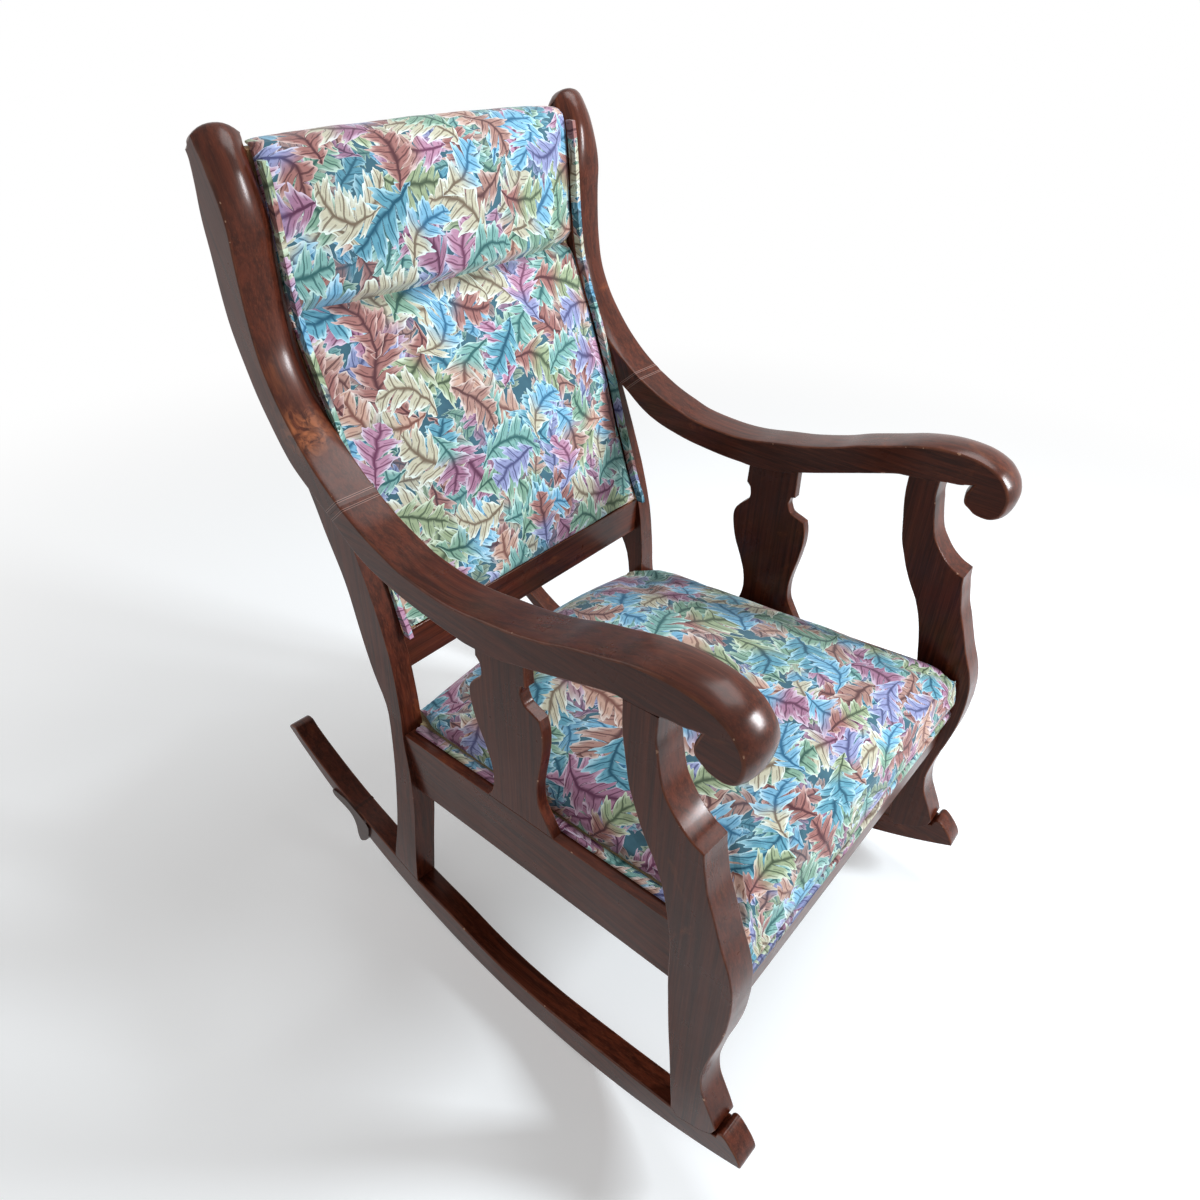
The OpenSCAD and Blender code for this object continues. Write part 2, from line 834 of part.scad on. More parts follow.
// The seat
// A layer of the seat between two heights above the line of the seat frame
module layer(u0, u1, w0, w1) {
    polygon([
        [u0, seat_line(u0) + w0],
        [u1, seat_line(u1) + w0],
        [u1, seat_line(u1) + w1],
        [u0, seat_line(u0) + w1]
    ]);
}

// A layer that is wide over the side rails and passes between the back posts
module seat_layer(u0, u1, w0, w1, edge) {
    across(edge)
        layer(u0, knee_u - ease, w0, w1);
    across(inner + ease)
        layer(knee_u - ease - over, u1, w0, w1);
}

web_lap = (inner - post_t) * 3 / 4;
web_top = -rail_h + web_t;

module seat_webbing() {
    rows = 6;
    lines = 4;
    bay = knee_u - ease - front_rail_back - ease;
    pitch = bay / rows;
    line_pitch = 2 * half_at(rear_rail_u, inner) / (lines + 1);
    color(canvas) {
        for (i = [0 : rows - 1])
            across(inner - web_lap)
                layer(front_rail_back + ease + (i + 0.5) * pitch - web_w / 2,
                    front_rail_back + ease + (i + 0.5) * pitch + web_w / 2, -rail_h - web_t, -rail_h);
        intersection() {
            across(inner)
                layer(front_rail_back, rear_rail_u, -rail_h, web_top);
            for (i = [0 : lines - 1])
                translate([(i - (lines - 1) / 2) * line_pitch - web_w / 2, -half_d, 0])
                    cube([web_w, chair_d, seat_v]);
        }
    }
}

// Springs stand on the webbing under the canvas: a narrow waist and wide ends
spring_h = rail_h * cos(seat_slope) - web_t - 2 * ease;
spring_waist_share = 0.28;
curl_rings = 8;
wire_sides = 6;
function spring_point(i) =
    let (t = i / (curl_rings * spring_turns), a = 360 * spring_turns * t,
        r = (spring_d - wire_d) / 2 * (1 - spring_waist_share * sin(180 * t)))
    [r * cos(a), r * sin(a), wire_d / 2 + (spring_h - wire_d) * t];
function wire_ring(i) =
    let (p = spring_point(i), q = i == 0 ? p : spring_point(i - 1),
        n = i == curl_rings * spring_turns ? p : spring_point(i + 1),
        f = (n - q) / norm(n - q), side = [p[0], p[1], 0] / norm([p[0], p[1]]),
        s = (side - (side * f) * f) / norm(side - (side * f) * f), up = cross(f, s))
    [for (k = [0 : wire_sides - 1])
        p + wire_d / 2 * (cos(360 * k / wire_sides) * s + sin(360 * k / wire_sides) * up)];
spring_gap = min([
    for (i = [0 : curl_rings * spring_turns])
        for (j = [i + curl_rings / 2 : 1 : curl_rings * spring_turns])
            norm(spring_point(i) - spring_point(j)) - wire_d]);
echo(least_gap_in_a_spring = spring_gap);

// A solid through closed loops of equally many points, one after the other
module skin(loops) {
    n = len(loops[0]);
    m = len(loops);
    points = [for (l = loops) for (p = l) p];
    sides = [
        for (i = [0 : m - 2])
            for (k = [0 : n - 1])
                for (f = [
                    [i * n + k, i * n + (k + 1) % n, (i + 1) * n + (k + 1) % n],
                    [i * n + k, (i + 1) * n + (k + 1) % n, (i + 1) * n + k]])
                    f
    ];
    low = [for (k = [1 : n - 2]) [0, k + 1, k]];
    high = [for (k = [1 : n - 2]) [(m - 1) * n, (m - 1) * n + k, (m - 1) * n + k + 1]];
    polyhedron(points = points, faces = concat(sides, low, high), convexity = 6);
}

module spring() {
    skin([for (i = [0 : curl_rings * spring_turns]) wire_ring(i)]);
}

module seat_springs() {
    n = 3;
    bay = rear_rail_u - front_rail_back;
    row_w = 2 * half_at(rear_rail_u, inner) / n;
    color(steel)
        for (i = [0 : n - 1])
            for (j = [0 : n - 1]) {
                u = front_rail_back + (j + 0.5) * bay / n;
                translate([(i - (n - 1) / 2) * row_w, u - half_d, seat_line(u) + web_top + ease])
                    rotate([-seat_slope, 0, 0])
                        spring();
            }
}

module seat_deck() {
    color(canvas)
        seat_layer(front_rail_u + ease, rear_rail_back - over, 0, deck_t, deck_edge);
}

// Base of the cushion lies inside the two cords of the welt
deck_edge = post_t + 4 * welt_r + ease;

module dust_cover() {
    low = -rail_h - web_t - ease - cloth_t;
    color("#2a2420")
        seat_layer(front_rail_back + ease, rear_rail_back - over, low, low + cloth_t, inner - web_lap);
}

// Section of a pad from its flat back to its crown: shares of the roll inwards, shares of the side's depth
pad_side_shares = [[0.45, 0], [0.10, 0.25], [0, 0.5], [0.12, 0.76], [0.45, 0.93], [1, 1]];
pad_crown_shares = [0.96, 0.88, 0.76, 0.6, 0.4, 0.2, 0];
pad_power = 2.2;

// Points across a pad: half width h, roll r, depth d at the sides and crown c, each as [x, depth]
function pad_half(h, r, d, c) = concat(
    [for (s = pad_side_shares) [h - s[0] * r, s[1] * d]],
    [for (a = pad_crown_shares) [a * (h - r), d + c * (1 - pow(a, pad_power))]]);
function pad_row(h, r, d, c) =
    let (half = pad_half(h, r, d, c), n = len(half))
    concat(half, [for (i = [n - 2 : -1 : 0]) [-half[i][0], half[i][1]]]);

// Inset of the widest part of the seat cushion: between the posts, over the side rails, between the back posts
seat_roll = 18;
bulge = deck_edge - pad_side_shares[0][0] * seat_roll + ease;
function seat_inset(u) = along([
        [0, post_t + ease],
        [post_u + post_reach / 3, post_t + ease],
        [post_back_u - ease, bulge],
        [knee_u - rail_t, bulge],
        [knee_u - ease, inner + ease],
        [chair_d, inner + ease]
    ], u);
seat_row_shares = [0, 0.006, 0.018, 0.036, 0.06, 0.09, 0.13, 0.18, 0.25, 0.34, 0.43, 0.52, 0.61, 0.70, 0.78,
    0.85, 0.905, 0.945, 0.97, 0.988, 1];
seat_rise_shares = [[0, 0.06], [0.006, 0.20], [0.018, 0.34], [0.036, 0.47], [0.06, 0.58], [0.09, 0.68],
    [0.13, 0.78], [0.18, 0.86], [0.25, 0.93], [0.34, 0.98], [0.5, 1], [0.78, 1], [0.85, 0.97], [0.905, 0.88],
    [0.945, 0.74], [0.97, 0.58], [0.988, 0.38], [1, 0.12]];

module seat_cushion() {
    u0 = front_rail_u - border_t;
    u1 = rear_rail_back;
    color(tapestry)
        skin([for (t = seat_row_shares)
            let (u = u0 + t * (u1 - u0), f = along(seat_rise_shares, t), h = half_at(u, seat_inset(u)))
            [for (p = pad_row(h, seat_roll, seat_rim * f, seat_crown * f))
                [p[0], u - half_d, seat_line(u) + deck_t + ease + p[1]]]]);
}

// Height at which the cover ends on the front rail
cover_low = front_rail_low + front_bare_h;
border_shares = [[0.25, 0], [0.8, 0.05], [1, 0.16], [1.06, 0.42], [1.03, 0.75], [0.95, 1]];

module seat_border() {
    low = cover_low + 4 * welt_r + ease;
    high = seat_line(front_rail_u) + deck_t;
    color(tapestry)
        across(post_t + ease)
            polygon(concat(
                [[front_rail_u, high], [front_rail_u, low]],
                smooth([for (p = border_shares) [front_rail_u - p[0] * border_t, low + p[1] * (high - low)]])));
}

// Two cords beside each other along each side rail and along the front rail
module seat_welt() {
    run = (knee_u - post_back_u - 2 * ease) / cos(seat_slope);
    color("#4b4c48") {
        for (flip = [0, 1])
            mirror([flip, 0, 0])
                for (i = [0, 1])
                    on_side(0)
                        translate([post_t + (1 + 2 * i) * welt_r, post_back_u + ease,
                                seat_line(post_back_u + ease) + welt_r / cos(seat_slope)])
                            rotate([-90 - seat_slope, 0, 0])
                                cylinder(r = welt_r, h = run - 2 * welt_r);
        intersection() {
            between(post_t + ease);
            for (i = [0, 1])
                translate([-side_w / 2, front_rail_u - welt_r - half_d, cover_low + (1 + 2 * i) * welt_r])
                    rotate([0, 90, 0])
                        cylinder(r = welt_r, h = side_w);
        }
    }
}

// The back
module back_webbing() {
    n = 6;
    step = (crest_low - back_rail_top) / n;
    color(canvas)
        for (i = [0 : n - 1]) {
            v0 = back_rail_top + (i + 0.5) * step - web_w / 2;
            v = [for (k = [0 : 4]) v0 + web_w * k / 4];
            across(inner + ease)
                polygon(concat(
                    [for (a = v) [stile_front(a) - web_t, a]],
                    [for (k = [4 : -1 : 0]) [stile_front(v[k]), v[k]]]));
        }
}

back_roll = 16;
back_row_shares = [0, 0.012, 0.03, 0.06, 0.10, 0.16, 0.24, 0.33, 0.42, 0.51, 0.60, 0.69, 0.77, 0.84, 0.90,
    0.94, 0.97, 0.988, 1];
// Rise of the crown from the bottom of the back to the seam
back_swell_shares = [[0, 0.05], [0.03, 0.3], [0.1, 0.62], [0.24, 0.92], [0.4, 1], [0.7, 0.9], [0.9, 0.62],
    [0.97, 0.3], [1, 0.05]];
// Draw of the cover into the seam, as shares of the tuck
seam_draw_shares = [[0, 0], [0.9, 0], [0.94, 0.12], [0.97, 0.36], [0.988, 0.65], [1, 1]];

// One loop of the back at height v, with its flat side at u = rear
function back_loop(v, rear, h, d, c) =
    [for (p = pad_row(h, back_roll, d, c)) [p[0], rear - p[1] - half_d, v]];

module back_cushion() {
    v0 = back_bottom;
    v1 = head_seam - ease / 2;
    color(tapestry)
        skin([for (t = back_row_shares)
            let (v = v0 + t * (v1 - v0), rear = stile_front(v) - web_t - ease,
                d = max(rear - back_edge(v) - tuck * along(seam_draw_shares, t), rail_t / 8),
                h = half_at(rear, inner + ease))
            back_loop(v, rear, h, d, back_crown * along(back_swell_shares, t))]);
}

// The headrest lies before the crest rail and rolls over its top
head_row_shares = [0, 0.012, 0.03, 0.06, 0.12, 0.22, 0.35, 0.5, 0.64, 0.76, 0.86];
head_swell_shares = [[0, 0.05], [0.03, 0.3], [0.06, 0.45], [0.12, 0.62], [0.35, 0.8], [0.64, 0.7], [0.86, 0.45], [1, 0.1]];
head_roll_shares = [[0, 0], [0.35, 0.07], [0.6, 0.2], [0.8, 0.4], [0.93, 0.65], [1, 0.9]];

module headrest() {
    v0 = head_seam + ease / 2;
    ledge = crest_top + ease;
    roll_h = back_top - ledge;
    rear_top = stile_rear(crest_low) + outback_t;
    below = [for (t = head_row_shares)
        let (v = v0 + t * (ledge - v0) / head_row_shares[10], front = back_edge(v),
            rear = min(stile_front(v) - web_t - ease, stile_front(crest_low) - ease),
            d = rear - front - tuck * along(seam_draw_shares, 1 - t),
            h = half_at(rear, inner + ease))
        back_loop(v, rear, h, d, back_crown * along(head_swell_shares, t))];
    above = [for (p = head_roll_shares)
        let (v = ledge + ease + p[0] * (roll_h - ease), front = back_edge(ledge) + p[1] * roll_h,
            rear = rear_top - p[1] * roll_h / 2, h = half_at(rear_top, inner + ease) - p[1] * back_roll / 2)
        back_loop(v, rear, h, rear - front, back_crown / 3 * (1 - p[1]))];
    color(tapestry)
        skin(concat(below, above));
}

// A strip against the inner face of each side, of thickness t, with a profile in u and v
module beside(inset, t) {
    difference() {
        across(inset)
            children();
        between(inset + t);
    }
}

module back_welt() {
    n = 40;
    band = 4 * welt_r;
    v = [for (i = [0 : n]) back_bottom + (back_top - back_bottom - back_roll) * i / n];
    color("#4b4c48") {
        beside(inner, 2 * welt_r)
            polygon(concat(
                [for (a = v) [back_edge(a) - band, a]],
                [for (i = [n : -1 : 0]) [back_edge(v[i]) - ease, v[i]]]));
    }
}

module outside_back() {
    n = 24;
    v = [for (i = [0 : n]) back_rail_top + (crest_top - back_rail_top) * i / n];
    rail_back = back_rail_u + rail_t + ease;
    inside = concat([[rail_back, back_rail_low]],
        [for (a = v) [max(rail_back, min(stile_rear(a), stile_rear(crest_low)) + ease), a]]);
    color(tapestry)
        across(inner + ease)
            polygon(concat(inside, [for (i = [len(inside) - 1 : -1 : 0]) inside[i] + [outback_t, 0]]));
}

// Low heads of the tacks that hold the dust cover, along both side rails and the rear rail
module tacks() {
    side_n = floor((knee_u - post_back_u) / tack_pitch);
    side_step = (knee_u - post_back_u) / (side_n + 1);
    rear_half = half_at(rear_rail_back, inner) - tack_d;
    rear_n = floor(2 * rear_half / tack_pitch);
    rear_step = 2 * rear_half / rear_n;
    low = -rail_h - web_t - 2 * ease - cloth_t;
    color(steel) {
        for (flip = [0, 1])
            mirror([flip, 0, 0])
                for (i = [1 : side_n]) {
                    u = post_back_u + i * side_step;
                    translate([-half_at(u, inner - web_lap / 2), u - half_d, seat_line(u) + low - tack_h])
                        rotate([-seat_slope, 0, 0])
                            cylinder(d = tack_d, h = tack_h);
                }
        for (i = [0 : rear_n])
            translate([i * rear_step - rear_half, rear_rail_u + rail_t / 2 - half_d,
                    seat_line(rear_rail_u + rail_t / 2) + low - tack_h])
                rotate([-seat_slope, 0, 0])
                    cylinder(d = tack_d, h = tack_h);
    }
}

runner_right();
runner_left();
heel_block_right();
heel_block_left();
front_post_right();
front_post_left();
arm_right();
arm_left();
wing_right();
wing_left();
back_post_right();
back_post_left();
splat_right();
splat_left();
side_rail_right();
side_rail_left();
front_rail();
rear_rail();
back_lower_rail();
back_stile_right();
back_stile_left();
crest_rail();
corner_block_front_right();
corner_block_front_left();
corner_block_rear_right();
corner_block_rear_left();
seat_webbing();
seat_springs();
seat_deck();
seat_cushion();
seat_border();
seat_welt();
dust_cover();
back_webbing();
back_cushion();
headrest();
back_welt();
outside_back();
dowels();
screws();
tacks();
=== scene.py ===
import math

import bmesh
import bpy
import numpy as np
from mathutils import Matrix, Vector, noise


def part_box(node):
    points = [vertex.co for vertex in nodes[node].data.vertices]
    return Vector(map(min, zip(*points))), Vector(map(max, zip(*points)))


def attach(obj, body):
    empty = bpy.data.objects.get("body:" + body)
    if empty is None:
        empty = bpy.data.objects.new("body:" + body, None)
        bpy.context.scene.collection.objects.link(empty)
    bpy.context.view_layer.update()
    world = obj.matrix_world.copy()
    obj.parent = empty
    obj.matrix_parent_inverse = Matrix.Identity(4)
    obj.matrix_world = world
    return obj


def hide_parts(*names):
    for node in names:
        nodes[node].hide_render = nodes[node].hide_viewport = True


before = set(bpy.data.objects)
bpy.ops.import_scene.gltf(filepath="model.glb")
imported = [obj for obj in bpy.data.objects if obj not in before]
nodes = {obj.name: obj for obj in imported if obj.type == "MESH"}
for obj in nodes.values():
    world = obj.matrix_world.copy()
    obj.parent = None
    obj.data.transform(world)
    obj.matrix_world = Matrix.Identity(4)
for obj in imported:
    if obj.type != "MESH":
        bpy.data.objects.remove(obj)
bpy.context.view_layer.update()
scene = bpy.context.scene
MM = 0.001
SIDES = ("right", "left")


# Materials

class Net:
    """Short names for the nodes of one tree."""

    def __init__(self, tree):
        self.tree = tree

    def new(self, kind, **props):
        n = self.tree.nodes.new(kind)
        for k, v in props.items():
            setattr(n, k, v)
        return n

    def put(self, socket, value):
        if isinstance(value, bpy.types.NodeSocket):
            self.tree.links.new(value, socket)
        elif value is not None:
            socket.default_value = value

    def m(self, op, a, b=None, clamp=False):
        n = self.new("ShaderNodeMath", operation=op, use_clamp=clamp)
        for s, v in zip(n.inputs, (a, b)):
            self.put(s, v)
        return n.outputs[0]

    def add(self, a, b):
        return self.m("ADD", a, b)

    def sub(self, a, b):
        return self.m("SUBTRACT", a, b)

    def mul(self, a, b):
        return self.m("MULTIPLY", a, b)

    def div(self, a, b):
        return self.m("DIVIDE", a, b)

    def lt(self, a, b):
        return self.m("LESS_THAN", a, b)

    def gt(self, a, b):
        return self.m("GREATER_THAN", a, b)

    def abs(self, a):
        return self.m("ABSOLUTE", a)

    def top(self, a, b):
        return self.m("MAXIMUM", a, b)

    def power(self, a, b):
        return self.m("POWER", a, b)

    def ramp(self, fac, lo, hi, a=0.0, b=1.0):
        """A smooth rise from a at lo to b at hi."""
        n = self.new("ShaderNodeMapRange", interpolation_type="SMOOTHSTEP")
        for i, v in enumerate((fac, lo, hi, a, b)):
            self.put(n.inputs[i], v)
        return n.outputs[0]

    def mix(self, fac, a, b):
        n = self.new("ShaderNodeMix", data_type="RGBA")
        self.put(n.inputs[0], fac)
        self.put(n.inputs[6], a)
        self.put(n.inputs[7], b)
        return n.outputs[2]

    def noise(self, vec, scale, detail=2.0, rough=0.5, dims="3D", distortion=0.0):
        n = self.new("ShaderNodeTexNoise", noise_dimensions=dims)
        self.put(n.inputs["Vector"], vec)
        n.inputs["Scale"].default_value = scale
        n.inputs["Detail"].default_value = detail
        n.inputs["Roughness"].default_value = rough
        n.inputs["Distortion"].default_value = distortion
        return n.outputs["Fac"]

    def mapping(self, vec, rot=(0, 0, 0), scale=(1, 1, 1), loc=(0, 0, 0)):
        n = self.new("ShaderNodeMapping")
        self.put(n.inputs["Vector"], vec)
        n.inputs["Rotation"].default_value = rot
        n.inputs["Scale"].default_value = scale
        n.inputs["Location"].default_value = loc
        return n.outputs[0]

    def split(self, vec):
        n = self.new("ShaderNodeSeparateXYZ")
        self.put(n.inputs[0], vec)
        return n.outputs

    def bump(self, height, strength, distance):
        n = self.new("ShaderNodeBump")
        n.inputs["Strength"].default_value = strength
        n.inputs["Distance"].default_value = distance
        self.put(n.inputs["Height"], height)
        return n.outputs[0]


def linear(c):
    """A channel of 0 to 255 as the share of light that Blender takes."""
    return ((c / 255 + 0.055) / 1.055) ** 2.4 if c > 10 else c / 255 / 12.92


def rgb(r, g, b):
    return (linear(r), linear(g), linear(b), 1.0)


def shader(name):
    mat = bpy.data.materials.new(name)
    mat.use_nodes = True
    return mat, Net(mat.node_tree), mat.node_tree.nodes["Principled BSDF"]


# Old glossy mahogany varnish

# Dark, middle and light wood, and its pores
WOOD_TONES = ((52, 21, 13), (90, 40, 25), (122, 64, 42), (28, 13, 9))
FIGURE_TONE = rgb(156, 84, 46)
KNOT_TONE = rgb(184, 108, 68)
RUBBED_TONE = rgb(128, 72, 48)
CHIP_TONE = rgb(206, 160, 130)
NICK_TONE = rgb(196, 156, 132)
# Painted shade: the near-black colour inside the engraved grooves
GROOVE_SHADE = rgb(20, 9, 8)
# Painted highlight: the light colour along both rims of each engraved groove
GROOVE_RIM_HIGHLIGHT = rgb(172, 130, 118)
# A knot's patch of curly grain is whole inside the first distance and gone beyond the second
KNOT_REACH = (0.008, 0.042)


def wood_grain(n, turned, dark):
    """Grain along the local X of the turned coordinates: the colour, and the fine lines for the bump."""
    streak = n.noise(n.mapping(turned, scale=(1.3, 46, 46)), 3.0, 3.0, 0.6, distortion=0.3)
    fine = n.noise(n.mapping(turned, scale=(3.2, 150, 150)), 4.0, 3.0, 0.6)
    pores = n.noise(n.mapping(turned, scale=(16, 330, 330)), 4.0, 1.0, 0.5)
    cloud = n.noise(n.mapping(turned, scale=(1.6, 4, 4)), 3.0, 3.0, 0.5)
    figure = n.noise(n.mapping(turned, scale=(5, 9, 9), loc=(3, 1, 2)), 1.9, 4.0, 0.6, distortion=1.2)
    # dark below 1 darkens every tone: painted shade, used for the heel blocks
    low, middle, light, pore = (rgb(*(v * dark for v in c)) for c in WOOD_TONES)
    base = n.mix(n.ramp(streak, 0.30, 0.72), low, middle)
    base = n.mix(n.mul(n.ramp(fine, 0.45, 0.75), 0.35), base, light)
    base = n.mix(n.mul(n.ramp(cloud, 0.45, 0.75), 0.40), base, low)
    base = n.mix(n.mul(n.ramp(figure, 0.62, 0.80), 0.45), base, FIGURE_TONE)
    return n.mix(n.mul(n.ramp(pores, 0.60, 0.78), 0.45), base, pore), fine


def knotted(n, at, base, knot):
    """A patch of light, curly grain around the point knot."""
    away = n.new("ShaderNodeVectorMath", operation="DISTANCE")
    n.put(away.inputs[0], at)
    away.inputs[1].default_value = knot
    curl = n.noise(at, 45.0, 3.0, 0.6, distortion=2.2)
    patch = n.mul(n.ramp(away.outputs["Value"], *KNOT_REACH, 1.0, 0.0), n.ramp(curl, 0.38, 0.68))
    return n.mix(n.mul(patch, 0.60), base, KNOT_TONE)


def worn(n, at, base):
    """Rubbed and chipped edges and a few nicks: the colour, and how rubbed it is."""
    edge = n.new("ShaderNodeAttribute", attribute_name="wear").outputs["Fac"]
    rubbed = n.mul(edge, n.ramp(n.noise(at, 30.0, 3.0, 0.65), 0.35, 0.65, 0.10, 0.60))
    base = n.mix(rubbed, base, RUBBED_TONE)
    chip = n.mul(edge, n.gt(n.noise(at, 95.0, 2.0, 0.6), 0.70))
    base = n.mix(n.mul(chip, 0.7), base, CHIP_TONE)
    scuff = n.noise(n.mapping(at, loc=(5, 2, 7)), 210.0, 1.0, 0.5)
    nick = n.mul(n.gt(scuff, 0.87), n.gt(n.noise(at, 11.0, 2.0), 0.62))
    return n.mix(n.mul(nick, 0.5), base, NICK_TONE), rubbed


def engraved(n, at, base, height, grooves):
    """Cut lines, each with painted shade inside and a painted highlight along its rims: of each a point (y,
    z) on it, the direction (y, z) across it and its width.
    """
    _, y, z = n.split(at)
    for (gy, gz), (dy, dz), width in grooves:
        off = n.add(n.mul(n.sub(y, gy), dy), n.mul(n.sub(z, gz), dz))
        inside = n.ramp(n.abs(off), width * 0.25, width * 0.75, 1.0, 0.0)
        # Painted shade: the groove's inside is darkened
        base = n.mix(n.mul(inside, 0.8), base, GROOVE_SHADE)
        rim = n.ramp(n.abs(n.sub(n.abs(off), width)), 0.0, width * 0.5, 1.0, 0.0)
        # Painted highlight: a light line along each rim of the groove
        base = n.mix(n.mul(rim, 0.85), base, GROOVE_RIM_HIGHLIGHT)
        height = n.sub(height, n.mul(inside, 6.0))
    return base, height


def varnished(name, rot, dark=1.0, grooves=(), knot=None):
    mat, n, out = shader(name)
    at = n.new("ShaderNodeTexCoord").outputs["Object"]
    base, fine = wood_grain(n, n.mapping(at, rot=rot), dark)
    if knot:
        base = knotted(n, at, base, knot)
    base, rubbed = worn(n, at, base)
    height = n.add(n.mul(fine, 0.35), n.mul(n.noise(at, 34.0, 2.0), 0.5))
    base, height = engraved(n, at, base, height, grooves)
    gloss = n.ramp(n.noise(at, 16.0, 4.0, 0.6), 0.3, 0.75, 0.26, 0.38)
    n.put(out.inputs["Base Color"], base)
    n.put(out.inputs["Roughness"], n.add(gloss, n.mul(rubbed, 0.1)))
    out.inputs["Specular IOR Level"].default_value = 0.14
    out.inputs["Specular Tint"].default_value = (1.0, 0.72, 0.62, 1.0)
    out.inputs["Coat Weight"].default_value = 0.23
    out.inputs["Coat Roughness"].default_value = 0.19
    n.put(out.inputs["Normal"], n.bump(height, 0.10, 0.0012))
    return mat


# Leaves of the tapestry: one bent, lobed leaf in each cell of a turned grid

LEAF_INPUTS = ("Cell", "Turn", "Seed", "Lobes", "Width")
LEAF_OUTPUTS = ("Mask", "Shade", "Line", "Edge", "Pick", "Along")
# A leaf's length and the start of its stalk, in cells
LEAF_LENGTH = 0.94
LEAF_START = 0.47
# How strongly a leaf bends, and how far it strays from the middle of its cell
LEAF_BEND = 3.2
LEAF_STRAY = 0.12


def leaf_place(n, given):
    """Place along and across the leaf of this point's cell, and two chances of that cell."""
    x, y, _ = n.split(given["Vector"])
    cos = n.m("COSINE", given["Turn"])
    sin = n.m("SINE", given["Turn"])
    seed = given["Seed"]
    px = n.add(n.div(n.sub(n.mul(x, cos), n.mul(y, sin)), given["Cell"]), n.mul(seed, 0.37))
    py = n.add(n.div(n.add(n.mul(x, sin), n.mul(y, cos)), given["Cell"]), n.mul(seed, 0.61))
    cx = n.m("FLOOR", px)
    py = n.add(py, n.mul(cx, 0.41))
    cy = n.m("FLOOR", py)
    cell = n.new("ShaderNodeCombineXYZ")
    for i, v in enumerate((cx, cy, seed)):
        n.put(cell.inputs[i], v)
    white = n.new("ShaderNodeTexWhiteNoise", noise_dimensions="3D")
    n.put(white.inputs[0], cell.outputs[0])
    chance = n.new("ShaderNodeSeparateColor")
    n.put(chance.inputs[0], white.outputs["Color"])
    way, stray, curve = chance.outputs
    pick = white.outputs["Value"]
    fx = n.add(n.sub(n.sub(px, cx), 0.5), n.mul(n.sub(stray, 0.5), LEAF_STRAY))
    fy = n.add(n.sub(n.sub(py, cy), 0.5), n.mul(n.sub(pick, 0.5), LEAF_STRAY))
    turn = n.mul(way, 2 * math.pi)
    ca = n.m("COSINE", turn)
    sa = n.m("SINE", turn)
    along = n.add(n.mul(fx, ca), n.mul(fy, sa))
    across = n.sub(n.mul(fy, ca), n.mul(fx, sa))
    bend = n.mul(n.mul(n.sub(curve, 0.5), LEAF_BEND), n.sub(n.mul(along, along), 0.06))
    return along, n.add(across, bend), curve, pick


def leaf_lobes(n, t, across, half_across, lobes, chance):
    """Place within a lobe, from 0 to 1. The two sides of the leaf are out of step."""
    phase = n.mul(n.sub(t, n.mul(half_across, 0.62)), lobes)
    phase = n.add(n.add(phase, n.mul(n.m("SIGN", across), 0.24)), chance)
    return n.m("FRACT", phase)


def leaf_half_width(n, t, f, width):
    """Half the leaf's width: an envelope that the lobes and their teeth fill."""
    hump = n.mul(n.mul(n.power(t, 0.95), n.power(n.sub(1.0, t), 0.55)), 2.05)
    envelope = n.mul(n.mul(hump, width), n.sub(1.22, n.mul(t, 0.10)))
    lobe = n.power(n.mul(n.mul(f, n.sub(1.0, f)), 4.0), 0.8)
    teeth = n.sub(0.5, n.mul(n.m("COSINE", n.mul(f, 6 * math.pi)), 0.5))
    fill = n.add(n.add(0.11, n.mul(lobe, 0.72)), n.mul(n.mul(teeth, lobe), 0.22))
    return n.mul(envelope, fill)


def leaf_veins(n, t, f, q, half_across):
    """Middle rib, a vein in each lobe with two forks, and the cut between two lobes."""
    rib = n.lt(half_across, n.mul(n.sub(1.15, t), 0.015))
    g = n.sub(f, 0.5)
    vein = n.lt(n.abs(n.add(g, n.mul(n.sub(q, 0.5), 0.2))), n.mul(n.sub(1.3, q), 0.048))
    vein = n.mul(vein, n.lt(q, 0.86))
    fork = n.top(n.lt(n.abs(n.add(n.sub(g, 0.22), n.mul(q, 0.1))), 0.03),
                 n.lt(n.abs(n.add(n.add(g, 0.22), n.mul(q, 0.05))), 0.03))
    fork = n.mul(n.mul(fork, n.gt(q, 0.35)), n.lt(q, 0.8))
    cut = n.mul(n.gt(n.abs(g), n.sub(0.473, n.mul(q, 0.063))), n.gt(q, 0.12))
    return n.top(n.top(n.mul(rib, 0.95), n.mul(vein, 0.85)), n.top(n.mul(fork, 0.55), n.mul(cut, 0.85)))


def leaf_layer():
    g = bpy.data.node_groups.new("leaf_layer", "ShaderNodeTree")
    g.interface.new_socket("Vector", in_out="INPUT", socket_type="NodeSocketVector")
    for name in LEAF_INPUTS:
        g.interface.new_socket(name, in_out="INPUT", socket_type="NodeSocketFloat")
    for name in LEAF_OUTPUTS:
        g.interface.new_socket(name, in_out="OUTPUT", socket_type="NodeSocketFloat")
    n = Net(g)
    given = n.new("NodeGroupInput").outputs
    out = n.new("NodeGroupOutput").inputs
    along, across, curve, pick = leaf_place(n, given)
    half_across = n.abs(across)
    t = n.m("DIVIDE", n.add(along, LEAF_START), LEAF_LENGTH, clamp=True)
    f = leaf_lobes(n, t, across, half_across, given["Lobes"], curve)
    half = leaf_half_width(n, t, f, given["Width"])
    inside = n.sub(half, half_across)
    q = n.m("DIVIDE", half_across, n.top(half, 0.001), clamp=True)
    shade = n.add(n.mul(q, 0.66), n.mul(n.mul(n.sub(1.0, f), 0.34), n.ramp(q, 0.1, 0.6)))
    values = (n.gt(inside, 0.0), shade, leaf_veins(n, t, f, q, half_across),
              n.mul(n.lt(inside, 0.011), n.gt(q, 0.25)), pick, t)
    for name, value in zip(LEAF_OUTPUTS, values):
        n.put(out[name], value)
    return g


LEAVES = leaf_layer()
